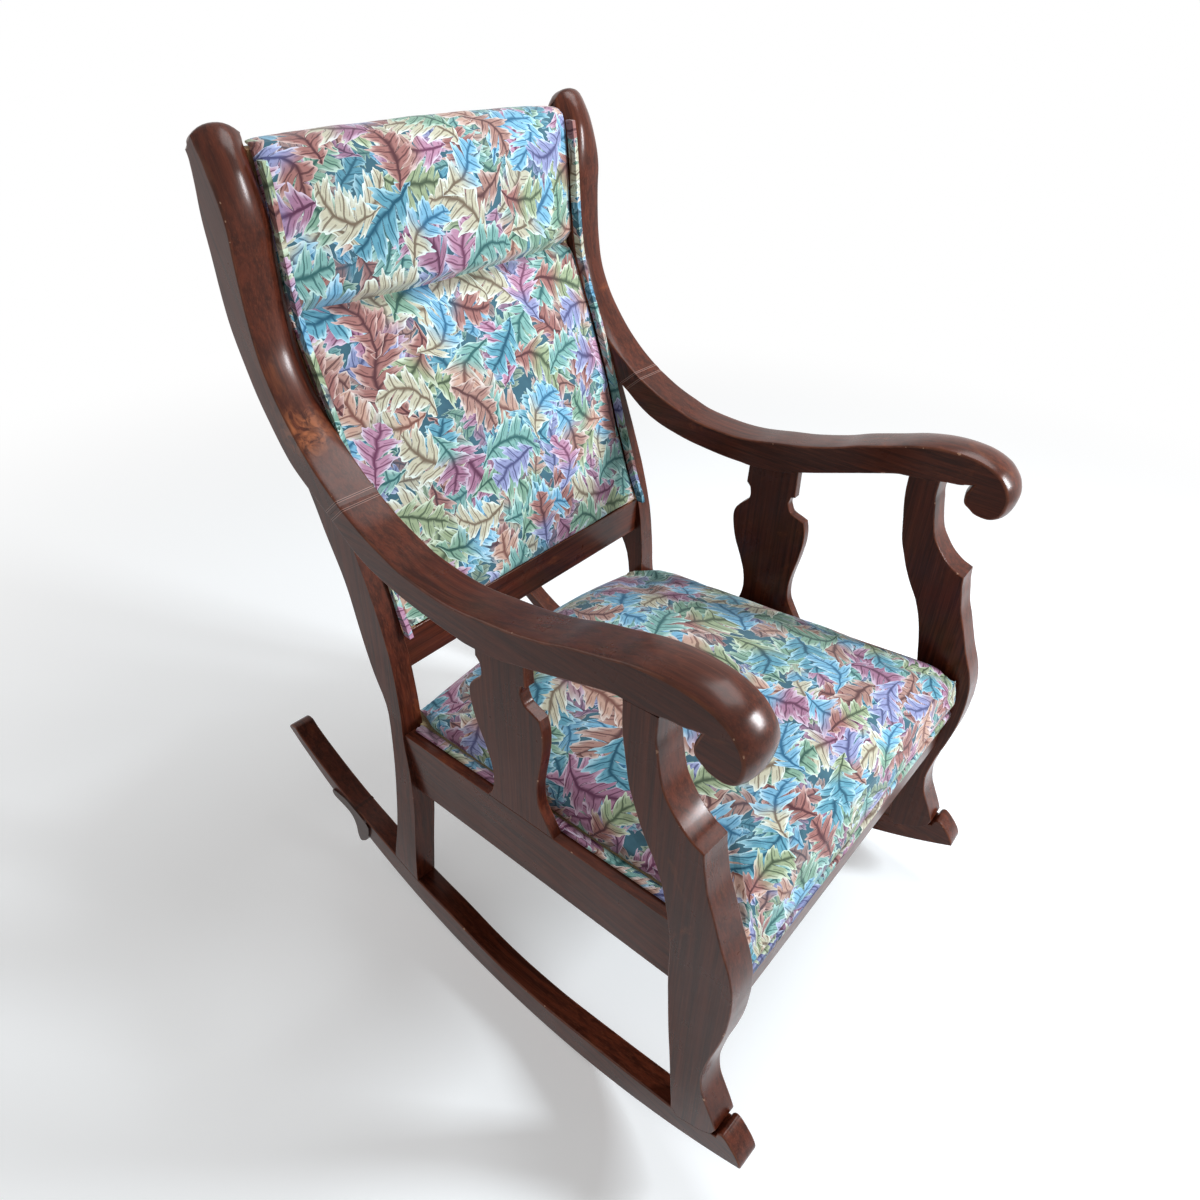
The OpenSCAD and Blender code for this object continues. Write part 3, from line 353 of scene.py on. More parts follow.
# Dark, middle and light of each hue
HUES = [
    ((58, 100, 122), (122, 168, 188), (196, 220, 226)),
    ((124, 56, 74), (192, 120, 134), (236, 196, 202)),
    ((98, 46, 38), (158, 88, 70), (222, 160, 134)),
    ((60, 82, 60), (126, 150, 112), (206, 216, 176)),
    ((130, 98, 68), (208, 184, 142), (248, 238, 210)),
    ((88, 76, 106), (144, 134, 166), (208, 202, 222)),
    ((42, 80, 90), (92, 140, 148), (172, 206, 204)),
    ((136, 76, 54), (206, 144, 112), (242, 206, 180)),
    ((106, 46, 60), (164, 96, 110), (224, 174, 180)),
    ((104, 56, 44), (172, 112, 88), (226, 182, 154)),
    ((84, 84, 50), (154, 154, 102), (224, 220, 170)),
    ((60, 94, 82), (124, 160, 138), (204, 224, 196)),
]
# Paleness and cast: a power for each of dark, middle and light, a shift of red, green and blue that paints
# the daylight's bluish cast, and a top
FADE = (1.0, 0.80, 0.64)
COOL_CAST_SHIFT = (-12, 2, 14)
FADE_TOP = 246
GROUND_TONES = (rgb(48, 82, 98), rgb(74, 116, 130))
SLUB_TONE = rgb(74, 82, 86)
# Spacing of warp and weft threads
WARP = 1.7 * MM
WEFT = 1.3 * MM
# Inputs of the leaf group and the strength of each layer of leaves, from the lowest
LEAF_LAYERS = [
    ((0.050, 2.5, 17.0, 3.0, 0.40), 0.55),
    ((0.060, 0.2, 3.0, 3.0, 0.39), 0.70),
    ((0.068, 1.1, 9.0, 3.0, 0.39), 0.82),
    ((0.094, 0.45, 1.0, 3.8, 0.39), 0.90),
    ((0.098, 1.35, 5.0, 4.0, 0.40), 1.0),
    ((0.102, 2.2, 7.0, 3.6, 0.39), 1.0),
    ((0.112, 2.9, 11.0, 4.3, 0.38), 1.0),
    ((0.090, 0.9, 13.0, 3.8, 0.39), 1.0),
]


def dyed_with_cool_cast(c, tone):
    """A dye made paler, and cooler by a painted bluish cast of the daylight."""
    return rgb(*(min(FADE_TOP, 255 * (v / 255) ** FADE[tone] + k) for v, k in zip(c, COOL_CAST_SHIFT)))


def palette(n, pick, tone):
    """One of the hues, in the tone 0, 1 or 2, for a pick from 0 to 1."""
    r = n.new("ShaderNodeValToRGB")
    r.color_ramp.interpolation = "CONSTANT"
    el = r.color_ramp.elements
    while len(el) < len(HUES):
        el.new(0.5)
    for i, h in enumerate(HUES):
        el[i].position = i / len(HUES)
        el[i].color = dyed_with_cool_cast(h[tone], tone)
    n.put(r.inputs[0], pick)
    return r.outputs[0]


def wobbled(n, uv):
    """Cloth coordinates with a slight waver, so that no leaf repeats another exactly."""
    wobble = n.new("ShaderNodeTexNoise", noise_dimensions="2D")
    n.put(wobble.inputs["Vector"], uv)
    wobble.inputs["Scale"].default_value = 24.0
    shift = n.new("ShaderNodeVectorMath", operation="MULTIPLY_ADD")
    n.put(shift.inputs[0], wobble.outputs["Color"])
    shift.inputs[1].default_value = (0.014, 0.014, 0)
    n.put(shift.inputs[2], uv)
    return shift.outputs[0]


def with_leaves(n, at, col, ground, values, strength):
    """One layer of leaves over the colour col. Some leaves turn to a second hue along their length."""
    g = n.new("ShaderNodeGroup")
    g.node_tree = LEAVES
    n.put(g.inputs["Vector"], at)
    given = dict(zip(LEAF_INPUTS, values))
    for name, value in given.items():
        g.inputs[name].default_value = value
    o = g.outputs
    pick = n.m("FRACT", n.add(o["Pick"], given["Seed"] * 0.137))
    other = n.m("FRACT", n.add(pick, 0.31))
    turns = n.gt(n.m("FRACT", n.mul(o["Pick"], 7.3)), 0.55)
    two = n.mul(n.ramp(o["Along"], 0.30, 0.62, 1.0, 0.0), turns)
    dark, mid, light = (n.mix(two, palette(n, pick, i), palette(n, other, i)) for i in range(3))
    leaf = n.mix(n.ramp(o["Shade"], 0.0, 0.16), dark, mid)
    leaf = n.mix(n.ramp(o["Shade"], 0.52, 0.92, 0.0, 0.9), leaf, light)
    leaf = n.mix(o["Line"], leaf, dark)
    leaf = n.mix(n.mul(o["Edge"], 0.6), leaf, light)
    if strength < 1:
        leaf = n.mix(1 - strength, leaf, ground)
    return n.mix(o["Mask"], col, leaf)


def tapestry(name):
    """Woven leaf pattern in metres of cloth, on the piece's own flat map."""
    mat, n, out = shader(name)
    uv = n.new("ShaderNodeUVMap", uv_map="UVMap").outputs[0]
    at = wobbled(n, uv)
    ground = n.mix(n.noise(uv, 40.0, 3.0, dims="2D"), *GROUND_TONES)
    col = ground
    for values, strength in LEAF_LAYERS:
        col = with_leaves(n, at, col, ground, values, strength)
    u, v, _ = n.split(uv)
    warp = n.m("SINE", n.mul(u, 2 * math.pi / WARP))
    weft = n.m("SINE", n.mul(v, 2 * math.pi / WEFT))
    slub = n.noise(n.mapping(uv, scale=(1, 6, 1)), 210.0, 2.0, dims="2D")
    weave = n.add(n.mul(n.mul(warp, weft), 0.5), n.mul(slub, 1.2))
    n.put(out.inputs["Base Color"], n.mix(n.mul(n.ramp(slub, 0.35, 0.8), 0.14), col, SLUB_TONE))
    n.put(out.inputs["Roughness"], n.ramp(slub, 0.2, 0.8, 0.78, 0.95))
    out.inputs["Specular IOR Level"].default_value = 0.25
    out.inputs["Sheen Weight"].default_value = 0.3
    out.inputs["Sheen Roughness"].default_value = 0.4
    n.put(out.inputs["Normal"], n.bump(weave, 0.28, 0.0006))
    return mat


TAPESTRY = tapestry("tapestry")


# Meshes

# Points closer than this are one point
WELD = 0.01 * MM


def from_nodes(*names):
    """A loose copy of the meshes of CAD nodes, welded."""
    bm = bmesh.new()
    for name in names:
        bm.from_mesh(nodes[name].data)
    bmesh.ops.remove_doubles(bm, verts=bm.verts, dist=WELD)
    return bm


def without_flat_edges(bm):
    bmesh.ops.dissolve_limit(bm, angle_limit=math.radians(0.3), verts=bm.verts, edges=bm.edges)
    return bm


def ease(x, a, b):
    """A smooth rise from 0 at a to 1 at b."""
    t = np.clip((x - a) / (b - a), 0, 1)
    return t * t * (3 - 2 * t)


def make(name, bm, mats):
    me = bpy.data.meshes.new(name)
    bm.to_mesh(me)
    bm.free()
    ob = bpy.data.objects.new(name, me)
    scene.collection.objects.link(ob)
    for m in mats:
        me.materials.append(m)
    me.polygons.foreach_set("use_smooth", [True] * len(me.polygons))
    return ob


def use(ob):
    bpy.ops.object.select_all(action="DESELECT")
    ob.select_set(True)
    bpy.context.view_layer.objects.active = ob


def bake(ob):
    use(ob)
    for m in list(ob.modifiers):
        bpy.ops.object.modifier_apply(modifier=m.name)


# Edges sharper than this keep their crease
SHARP = math.radians(42)


def weigh_normals(ob):
    ob.data.set_sharp_from_angle(angle=SHARP)
    mod = ob.modifiers.new("weighted", "WEIGHTED_NORMAL")
    mod.keep_sharp = True
    bake(ob)


def edge_wear(ob, width):
    """A value of 1 on the narrow faces of rounded edges and 0 on the rest."""
    bm = bmesh.new()
    bm.from_mesh(ob.data)
    values = [float(f.calc_area() < width * max(e.calc_length() for e in f.edges)) for f in bm.faces]
    bm.free()
    at = ob.data.attributes.new("wear", "FLOAT", "FACE")
    at.data.foreach_set("value", values)


def hand_over(ob, *names, slot="mahogany"):
    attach(ob, "root")
    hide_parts(*names)


# Side boards: each is built anew from the outline of its CAD node

# How far off a board's plane a face may be that still lies in it
SAME_PLANE = 0.2 * MM
# Area in square metres that a face needs to be part of an outline
LEAST_FACE = 1e-4
# Shortest end of an outline that another face can join
LEAST_END = 0.02


class Outline:
    """The outline of a board on its outer face, in the plane of that face."""

    def __init__(self, node):
        sign = -1 if node.endswith("right") else 1
        bm = without_flat_edges(from_nodes(node))
        flat = sorted((f for f in bm.faces if f.normal.x * sign > 0.9), key=lambda f: -f.calc_area())
        main = flat[0]
        self.normal = main.normal.copy()
        self.near = self.normal.dot(main.verts[0].co)
        self.thick = self.near - min(self.normal.dot(v.co) for v in bm.verts)
        self.up = Vector((0, 0, 1))
        self.along = self.up.cross(self.normal).normalized()
        self.base = self.normal * self.near
        ring = [self.flat(v.co) for v in main.verts]
        self.joint = None
        strips = [f for f in flat[1:] if abs(self.normal.dot(f.verts[0].co) - self.near) < SAME_PLANE
                  and f.calc_area() > LEAST_FACE]
        if strips and node.startswith(("arm", "wing")):
            ring = self.with_end(ring, [self.flat(v.co) for v in strips[0].verts])
        bm.free()
        area = sum(ring[i - 1].x * ring[i].y - ring[i].x * ring[i - 1].y for i in range(len(ring)))
        if area < 0:
            ring.reverse()
        self.points, self.corner = smooth_path(ring)

    def flat(self, p):
        """A point of space in the outline's own plane."""
        return Vector((p.dot(self.along), p.z))

    def at(self, p, depth):
        """The point of space under a point of the outline."""
        return self.base + self.along * p.x + self.up * p.y - self.normal * depth

    def with_end(self, ring, strip):
        """The outline with the strip beyond the engraved ring, up to the joint."""
        mid = sum(strip, Vector((0, 0))) / len(strip)
        ends = [i for i in range(len(ring)) if (ring[i] - ring[i - 1]).length > LEAST_END]
        i = min(ends, key=lambda k: ((ring[k] + ring[k - 1]) / 2 - mid).length)
        a, b = ring[i - 1], ring[i]
        away = Vector((-(b - a).y, (b - a).x)).normalized()
        if (mid - a).dot(away) < 0:
            away = -away
        far = sorted(strip, key=lambda p: -(p - a).dot(away))[:2]
        far.sort(key=lambda p: (p - a).length)
        self.joint = ((far[0] + far[1]) / 2, away)
        return ring[:i] + far + ring[i:] if i else far + ring

    def yz(self):
        return np.array([(self.at(p, 0).y, p.y) for p in self.points])


def smooth_path(ring, gap=0.004, corner=32):
    """Even points on a closed outline: curved between its corners, which are kept."""
    count = len(ring)

    def turn(i):
        a = ring[i] - ring[i - 1]
        b = ring[(i + 1) % count] - ring[i]
        return abs(a.angle_signed(b, 0.0))

    corners = [i for i in range(count) if turn(i) > math.radians(corner)] or [0]
    points, marks = [], []
    for c, start in enumerate(corners):
        end = corners[(c + 1) % len(corners)]
        run = [ring[(start + k) % count] for k in range((end - start - 1) % count + 2)]
        for i in range(len(run) - 1):
            p1, p2 = run[i], run[i + 1]
            p0 = run[i - 1] if i else p1 * 2 - p2
            p3 = run[i + 2] if i + 2 < len(run) else p2 * 2 - p1
            steps = max(1, round((p2 - p1).length / gap))
            for j in range(steps):
                points.append(curve_point(p0, p1, p2, p3, j / steps))
                marks.append(i == 0 and j == 0)
    return points, marks


def curve_point(p0, p1, p2, p3, t):
    """A point of the centripetal curve from p1 to p2."""
    k = [0.0]
    for a, b in ((p0, p1), (p1, p2), (p2, p3)):
        k.append(k[-1] + max(1e-6, (b - a).length) ** 0.5)
    x = k[1] + (k[2] - k[1]) * t

    def blend(a, b, i, j):
        return a * ((k[j] - x) / (k[j] - k[i])) + b * ((x - k[i]) / (k[j] - k[i]))

    a1, a2, a3 = blend(p0, p1, 0, 1), blend(p1, p2, 1, 2), blend(p2, p3, 2, 3)
    return blend(blend(a1, a2, 0, 2), blend(a2, a3, 1, 3), 1, 2)


# A corner's way inwards is at most this many times the way inwards elsewhere
LONGEST_WAY = 2


def inward_ways(points):
    """The way inwards at each point, longer at corners so that the edge keeps its width."""
    ways = []
    for i, p in enumerate(points):
        d0 = (p - points[i - 1]).normalized()
        d1 = (points[(i + 1) % len(points)] - p).normalized()
        n0, n1 = Vector((-d0.y, d0.x)), Vector((-d1.y, d1.x))
        m = n0 + n1
        m = m.normalized() if m.length > 1e-6 else n0
        ways.append(m / max(1 / LONGEST_WAY, m.dot(n0)))
    return ways


# Points nearer than this don't count against each other, and the share of the room that is used
LEAST_APART = 3 * MM
ROOM_SHARE = 0.8


def room(points, ways, corner):
    """How far each point can move inwards before the outline folds."""
    p = np.array([tuple(q) for q in points])
    w = np.array([tuple(q) for q in ways])
    w /= np.linalg.norm(w, axis=1, keepdims=True)
    count = len(p)
    free = np.full(count, 1.0)
    for i in range(count):
        d = p - p[i]
        reach = d @ w[i]
        apart = (d * d).sum(1)
        ok = (reach > 1e-5) & (apart > LEAST_APART ** 2)
        if ok.any() and not corner[i]:
            free[i] = (apart[ok] / (2 * reach[ok])).min()
    for i in range(count):
        if corner[i]:
            free[i] = min(free[i - 1], free[(i + 1) % count])
    return free * ROOM_SHARE


# Outlines that come nearer than this touch
TOUCHING = 2.2 * MM


def near_others(own, others):
    """Where an outline lies on another board's outline."""
    rest = []
    for q in others:
        nxt = np.roll(q, -1, axis=0)
        rest += [q, (q * 2 + nxt) / 3, (q + nxt * 2) / 3]
    rest = np.concatenate(rest)
    apart = np.sqrt(((own[:, None] - rest[None]) ** 2).sum(2)).min(1)
    return apart < TOUCHING


def evened(values, rounds):
    v = np.array(values, float)
    for _ in range(rounds):
        v = (np.roll(v, 1) + 2 * v + np.roll(v, -1)) / 4
    return v


# Share of the rounding of an edge at each row of points, from the face inwards
EDGE_STEPS = (0, 0.12, 0.35, 0.65, 1.0)
# Rounding where boards meet, and the least of it that counts as an edge that hands rub
JOINT_ROUND = 0.4 * MM
RUBBED_ROUND = 0.8 * MM
LEAST_ROUND = 0.3 * MM
# Rows of points over a crowned rim, how late its fall begins, the share of the room it takes and its evening
CROWN_ROWS = 9
CROWN_POWER = 2.3
CROWN_SHARE = 0.9
CROWN_EVENING = 12


def rim_rows(middles):
    """Rows across a board's rim: where they are, and how far along there."""
    rows = [("near", s) for s in EDGE_STEPS]
    rows += [("mid", (j + 1) / (middles + 1)) for j in range(middles)]
    return rows + [("far", s) for s in reversed(EDGE_STEPS)]


def rim_point(kind, s, r, swell, thick):
    """Inset and depth of a row where the edges are rounded by r and the rim falls away by swell."""
    if kind == "mid":
        inset, depth = 0.0, r + (thick - 2 * r) * s
    else:
        inset = r * (1 - math.sin(s * math.pi / 2))
        depth = r * (1 - math.cos(s * math.pi / 2))
        depth = thick - depth if kind == "far" else depth
    across = 2 * depth / thick - 1
    return inset + swell[0 if across < 0 else 1] * abs(across) ** CROWN_POWER, depth


def board(node, mat, outline, others, edge, crown=None):
    """A board with rounded edges. crown is how far its rim falls away to the outer and to the inner face."""
    pts, thick = outline.points, outline.thick
    count = len(pts)
    ways = inward_ways(pts)
    own = outline.yz()
    joined = near_others(own, others)
    free = room(pts, ways, outline.corner)
    rad = np.array([edge(*q) for q in own])
    swell = np.array([crown(*q) if crown else (0.0, 0.0) for q in own]).T
    rad[joined] = JOINT_ROUND
    swell[:, joined] = 0.0
    swell = np.array([evened(np.minimum(s, free * CROWN_SHARE), CROWN_EVENING) for s in swell])
    rad = evened(np.minimum(rad, np.maximum(free - np.maximum(*swell), LEAST_ROUND)), 1)
    bm = bmesh.new()
    loops, wear = [], []
    for kind, s in rim_rows(CROWN_ROWS if crown else 1):
        loop = []
        for i in range(count):
            inset, depth = rim_point(kind, s, rad[i], swell[:, i], thick)
            loop.append(bm.verts.new(outline.at(pts[i] + ways[i] * inset, depth)))
            wear.append(1.0 if kind != "mid" and 0 < s < 1 and rad[i] > RUBBED_ROUND else 0.0)
        loops.append(loop)
    for a, b in zip(loops, loops[1:]):
        for i in range(count):
            j = (i + 1) % count
            bm.faces.new((a[i], a[j], b[j], b[i]))
    bm.faces.new(loops[0])
    bm.faces.new(list(reversed(loops[-1])))
    bmesh.ops.recalc_face_normals(bm, faces=bm.faces)
    ob = make("vis_" + node, bm, [mat])
    ob.data.attributes.new("wear", "FLOAT", "POINT").data.foreach_set("value", wear)
    weigh_normals(ob)
    return ob


# A face narrower than this share of a bevel's width belongs to the rounding
NARROW = 0.9


def bevelled(node, mat, width):
    """A CAD node's own mesh with rounded edges."""
    ob = make("vis_" + node, without_flat_edges(from_nodes(node)), [mat])
    mod = ob.modifiers.new("bevel", "BEVEL")
    mod.width = width
    mod.segments = 3
    mod.limit_method = "ANGLE"
    mod.angle_limit = math.radians(30)
    bake(ob)
    edge_wear(ob, width * NARROW)
    weigh_normals(ob)
    return ob


arm_lo, arm_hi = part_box("arm_right")
wing_lo, wing_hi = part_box("wing_right")
# The wing's top is a dome between these heights, and its foot thickens over the first stretch
CREST = wing_hi.z - 0.012
SHOULDER = wing_hi.z - 0.10
WING_FOOT = (wing_lo.z + 0.02, wing_lo.z + 0.12)
# The scroll's crown grows towards the front of the arm, and fades out at its rear end
SCROLL = (-arm_lo.y - 0.19, -arm_lo.y - 0.03)
ARM_END = (0.03, 0.10)


def wing_edge(y, z):
    return (2.2 + 4 * ease(z, SHOULDER, CREST)) * MM


def wing_crown(y, z):
    foot = ease(z, *WING_FOOT)
    dome = ease(z, SHOULDER, CREST)
    return (2.2 * foot + 9 * dome) * MM, (8 * foot + 12 * dome) * MM


def arm_crown(y, z):
    front = ease(-y, *SCROLL)
    fall = (0.8 + 4.6 * front) * MM * ease(arm_hi.y - y, *ARM_END)
    return fall, fall


def plain_edge(mm):
    return lambda y, z: mm * MM


KINDS = ("runner_", "front_post_", "arm_", "wing_", "splat_")
outlines = {k + s: Outline(k + s) for s in SIDES for k in KINDS}
# Turns that lay the grain along Y, along Z and along the lean of the wings
GRAIN_Y = (0, 0, math.radians(-90))
GRAIN_Z = (0, math.radians(90), 0)
GRAIN_LEAN = (math.radians(22), math.radians(90), 0)


def groove_of(node, gap, width):
    """The engraved ring of an arm or a wing: a line beside its joint."""
    o = outlines[node]
    mid, away = o.joint
    p = o.at(mid - away * gap, 0)
    d = o.along * away.x + o.up * away.y
    length = math.hypot(d.y, d.z)
    return ((p.y, p.z), (d.y / length, d.z / length), width)


RING_GAP = 5.8 * MM
RING_WIDTH = 1.1 * MM
# On the right wing, above its joint with the arm
KNOT_AT = (-0.276, 0.238, 0.766)
WOOD_Y = varnished("wood_along_y", GRAIN_Y)
WOOD_Z = varnished("wood_along_z", GRAIN_Z)
WOOD_X = varnished("wood_along_x", (0, 0, 0))
WOOD_ARM = varnished("wood_arm", GRAIN_Y, grooves=[groove_of("arm_right", RING_GAP, RING_WIDTH)])
WOOD_WING = varnished("wood_wing", GRAIN_LEAN, grooves=[groove_of("wing_right", RING_GAP, RING_WIDTH)],
                      knot=KNOT_AT)
# Heel blocks: the wood darkened to three quarters, a painted shade for the shade under the runners' rear
WOOD_HEEL_SHADED = varnished("wood_heel_painted_shade", GRAIN_Y, dark=0.75)
# Material, rounding of the edges and crown of each shaped board
BOARDS = {
    "runner_": (WOOD_Y, plain_edge(2.2), None),
    "arm_": (WOOD_ARM, plain_edge(2.4), arm_crown),
    "wing_": (WOOD_WING, wing_edge, wing_crown),
    "front_post_": (WOOD_Z, plain_edge(1.8), None),
    "splat_": (WOOD_Z, plain_edge(1.6), None),
}
# Material and rounding of the edges of the plainer pieces
PLAIN_BOARDS = {
    "back_post_": (WOOD_Z, 2.2 * MM),
    "heel_block_": (WOOD_HEEL_SHADED, 1.5 * MM),
    "side_rail_": (WOOD_Y, 1.6 * MM),
}
CROSS_RAIL_EDGE = 1.8 * MM

for s in SIDES:
    for kind, (mat, edge, crown) in BOARDS.items():
        others = [outlines[k + s].yz() for k in KINDS if k != kind]
        hand_over(board(kind + s, mat, outlines[kind + s], others, edge, crown), kind + s)
    for kind, (mat, width) in PLAIN_BOARDS.items():
        hand_over(bevelled(kind + s, mat, width), kind + s)
for node in ("front_rail", "rear_rail", "back_lower_rail"):
    hand_over(bevelled(node, WOOD_X, CROSS_RAIL_EDGE), node)


# Upholstery

def points_of(me):
    co = np.zeros(len(me.vertices) * 3)
    me.vertices.foreach_get("co", co)
    return co.reshape(-1, 3)


def set_points(me, co):
    me.vertices.foreach_set("co", np.ascontiguousarray(co).ravel())
    me.update()


PAD_MESH = 6 * MM
PAD_PRESSURE = 3.0
SETTLE_FRAMES = 20


def remeshed(ob):
    """One even mesh with its corners a little softened."""
    mod = ob.modifiers.new("even", "REMESH")
    mod.mode = "VOXEL"
    mod.voxel_size = PAD_MESH
    bake(ob)
    mod = ob.modifiers.new("soften", "SMOOTH")
    mod.factor = 0.5
    mod.iterations = 6
    bake(ob)


def settle(ob, cap, hold):
    """Let a pad swell as cloth and cap how far each point moves. hold(x, y, z) is true where it is fixed."""
    remeshed(ob)
    me = ob.data
    start = points_of(me)
    pinned = ob.vertex_groups.new(name="pin")
    pinned.add([i for i, p in enumerate(start) if hold(*p)], 1.0, "REPLACE")
    cloth = ob.modifiers.new("cloth", "CLOTH")
    cloth.collision_settings.use_collision = False
    given = cloth.settings
    given.quality = 5
    given.mass = 0.25
    given.tension_stiffness = 25
    given.compression_stiffness = 25
    given.bending_stiffness = 1.2
    given.use_pressure = True
    given.uniform_pressure_force = PAD_PRESSURE
    given.vertex_group_mass = "pin"
    given.effector_weights.gravity = 0
    for f in range(1, SETTLE_FRAMES + 1):
        scene.frame_set(f)
    settled = ob.evaluated_get(bpy.context.evaluated_depsgraph_get())
    end = points_of(settled.to_mesh())
    settled.to_mesh_clear()
    ob.modifiers.remove(cloth)
    scene.frame_set(1)
    move = end - start
    far = np.linalg.norm(move, axis=1, keepdims=True)
    set_points(me, start + move * np.minimum(1.0, cap / np.maximum(far, 1e-9)))
    ob.vertex_groups.clear()


def cloth_map(ob, lay_out):
    """A flat map in metres of cloth: lay_out turns points into cloth coordinates."""
    me = ob.data
    uv = lay_out(points_of(me))
    idx = np.zeros(len(me.loops), int)
    me.loops.foreach_get("vertex_index", idx)
    lay = me.uv_layers.new(name="UVMap")
    lay.data.foreach_set("uv", uv[idx].astype(np.float32).ravel())


def creased(ob, depth, scale, keep):
    """Uneven stuffing and slight creases along the normals. keep(x, y, z) is 1 where the cover may move."""
    me = ob.data
    co = points_of(me)
    normals = np.zeros(len(me.vertices) * 3)
    me.vertices.foreach_get("normal", normals)
    normals = normals.reshape(-1, 3)
    for i, p in enumerate(co):
        q = Vector(p)
        h = noise.noise(q * scale) + 0.6 * noise.noise(q * scale * 2.3 + Vector((4, 7, 1)))
        co[i] = p + normals[i] * h * depth * keep(*p)
    set_points(me, co)


seat_lo, seat_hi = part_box("seat_cushion")
back_lo, back_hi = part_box("back_cushion")
head_lo, head_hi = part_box("headrest")
SEAT_SLOPE = math.tan(math.radians(5.5))
BACK_LEAN = math.atan2(back_hi.y - back_lo.y, back_hi.z - back_lo.z)
# Where on the cloth each cover is cut, across and along. The headrest's cut lies further across
SEAT_CUT = (0.31, 0.11)
BACK_CUT = (0.77, 0.20)
HEAD_CUT_SHIFT = 0.13
STRIP_CUT = (0.60, 0.20)
CORD_CUT = 0.30
# Rounding of the seat's upper edges, and where its cover turns down: across the sides, and from front to rear
SEAT_EDGE = 0.012
SIDE_TURN = (seat_hi.x - 0.05, seat_hi.x - SEAT_EDGE)
REAR_TURN = (0.15, 0.40)
# Where the headrest's cover turns to the rear over its top, and how much of the way back it follows
TOP_TURN = (head_hi.z - 0.05, head_hi.z - 0.008)
TOP_FOLLOW = 0.5


def seat_cloth(p):
    """Flat over the top, turned down at the sides, the front and the rear."""
    x, y, z = p.T
    run = y - seat_lo.y
    drop = (seat_hi.z - SEAT_EDGE - SEAT_SLOPE * run) - z
    side = ease(np.abs(x), *SIDE_TURN)
    rear = ease(run, *REAR_TURN) * 2 - 1
    across = x + np.sign(x) * side * np.maximum(drop, 0)
    return np.stack([across + SEAT_CUT[0], run + rear * drop * (1 - side) + SEAT_CUT[1]], 1)


# The seat's cover is fixed under these heights: over the side rails, and within a strip over the front rail
SEAT_FOOT = 0.408
FRONT_FOOT = 0.37
FRONT_STRIP = 0.03


def seat_hold(x, y, z):
    if y > seat_lo.y + FRONT_STRIP:
        return z < SEAT_FOOT - SEAT_SLOPE * (y - seat_lo.y)
    return z < FRONT_FOOT


# Height of the side rails' top, and how far back it is measured
RAIL_TOP = 0.397
RAIL_TOP_AT = -0.335
SIDE_TUCK = 2 * MM
FRONT_TUCK = 4.5 * MM
# Where the side tuck begins across the pad and ends over its rail, and where the front tuck ends
TUCK_ACROSS = (0.20, 0.23)
TUCK_OVER_RAIL = (0.004, 0.032)
TUCK_BEHIND = (-0.38, -0.36)
TUCK_HEIGHT = (0.352, 0.376)


def tuck(ob):
    """The foot of the seat's cover stands back from the welt cords."""
    co = points_of(ob.data)
    x, y, z = co.T
    over_rail = z - RAIL_TOP + SEAT_SLOPE * (y - RAIL_TOP_AT)
    side = ease(np.abs(x), *TUCK_ACROSS) * (1 - ease(over_rail, *TUCK_OVER_RAIL))
    front = (1 - ease(y, *TUCK_BEHIND)) * (1 - ease(z, *TUCK_HEIGHT))
    co[:, 0] -= np.sign(x) * SIDE_TUCK * side
    co[:, 1] += FRONT_TUCK * front
    set_points(ob.data, co)


seat = make("seat_pad", from_nodes("seat_cushion", "seat_border"), [TAPESTRY])
settle(seat, cap=7 * MM, hold=seat_hold)
tuck(seat)
creased(seat, depth=1.1 * MM, scale=14.0, keep=lambda x, y, z: ease(z, 0.39, 0.43))
cloth_map(seat, seat_cloth)
hand_over(seat, "seat_cushion", "seat_border", slot="tapestry")


def along_back(y, z):
    """How far up the leaning back a point is."""
    return y * math.sin(BACK_LEAN) + z * math.cos(BACK_LEAN)


def into_back(y, z):
    """How far behind a plane along the leaning back a point is."""
    return y * math.cos(BACK_LEAN) - z * math.sin(BACK_LEAN)


def back_cloth(p):
    x, y, z = p.T
    over = ease(z, *TOP_TURN)
    piece = HEAD_CUT_SHIFT if z.mean() > back_hi.z else 0.0
    along = along_back(y, z) + over * np.maximum(y - head_lo.y, 0) * TOP_FOLLOW
    return np.stack([x + BACK_CUT[0] + piece, along + BACK_CUT[1]], 1)


# The seam under the headrest: sag of its middle, lap of the two covers behind its mouth, and depth
SEAM_SAG = 7 * MM
SEAM_LAP = 3 * MM
SEAM_TUCK = 10 * MM
# Points this near to the seam's height find its mouth, and the lap begins this far behind it
MOUTH = 0.006
BEHIND_MOUTH = (0.003, 0.008)
# How far up and down from the seam the lap and the tuck fade out
LAP_FADE = (0.003, 0.014)
TUCK_FADE = (0.0, 0.020)
TUCK_POWER = 1.5
# Heights between which the sag begins under the seam and ends over it
SAG_BEGIN = (back_hi.z - 0.07, back_hi.z - 0.015)
SAG_END = (back_hi.z + 0.015, back_hi.z + 0.08)


def sew(ob, way):
    """Draw a cover into the seam. way is 1 for the cover under it and -1 for the headrest's."""
    co = points_of(ob.data)
    x, y, z = co.T
    off = np.abs(z - (back_hi.z if way > 0 else head_lo.z))
    deep = into_back(y, z)
    inner = ease(deep - deep[off < MOUTH].min(), *BEHIND_MOUTH)
    edge = (1 - ease(off, *LAP_FADE)) * inner
    near = ease(z, *SAG_BEGIN) * (1 - ease(z, *SAG_END))
    middle = np.clip(1 - (x / back_hi.x) ** 2, 0, 1)
    co[:, 1] += SEAM_TUCK * (1 - ease(off, *TUCK_FADE)) ** TUCK_POWER
    co[:, 2] += SEAM_LAP * way * edge - SEAM_SAG * near * middle
    set_points(ob.data, co)


# How near to the seam, to the sides and to the foot the back's covers are sewn down
SEAM_HOLD = 14 * MM
SIDE_HOLD = 18 * MM
FOOT_HOLD = 15 * MM


def back_hold(x, y, z):
    return abs(z - back_hi.z) < SEAM_HOLD or abs(x) > back_hi.x - SIDE_HOLD or z < back_lo.z + FOOT_HOLD


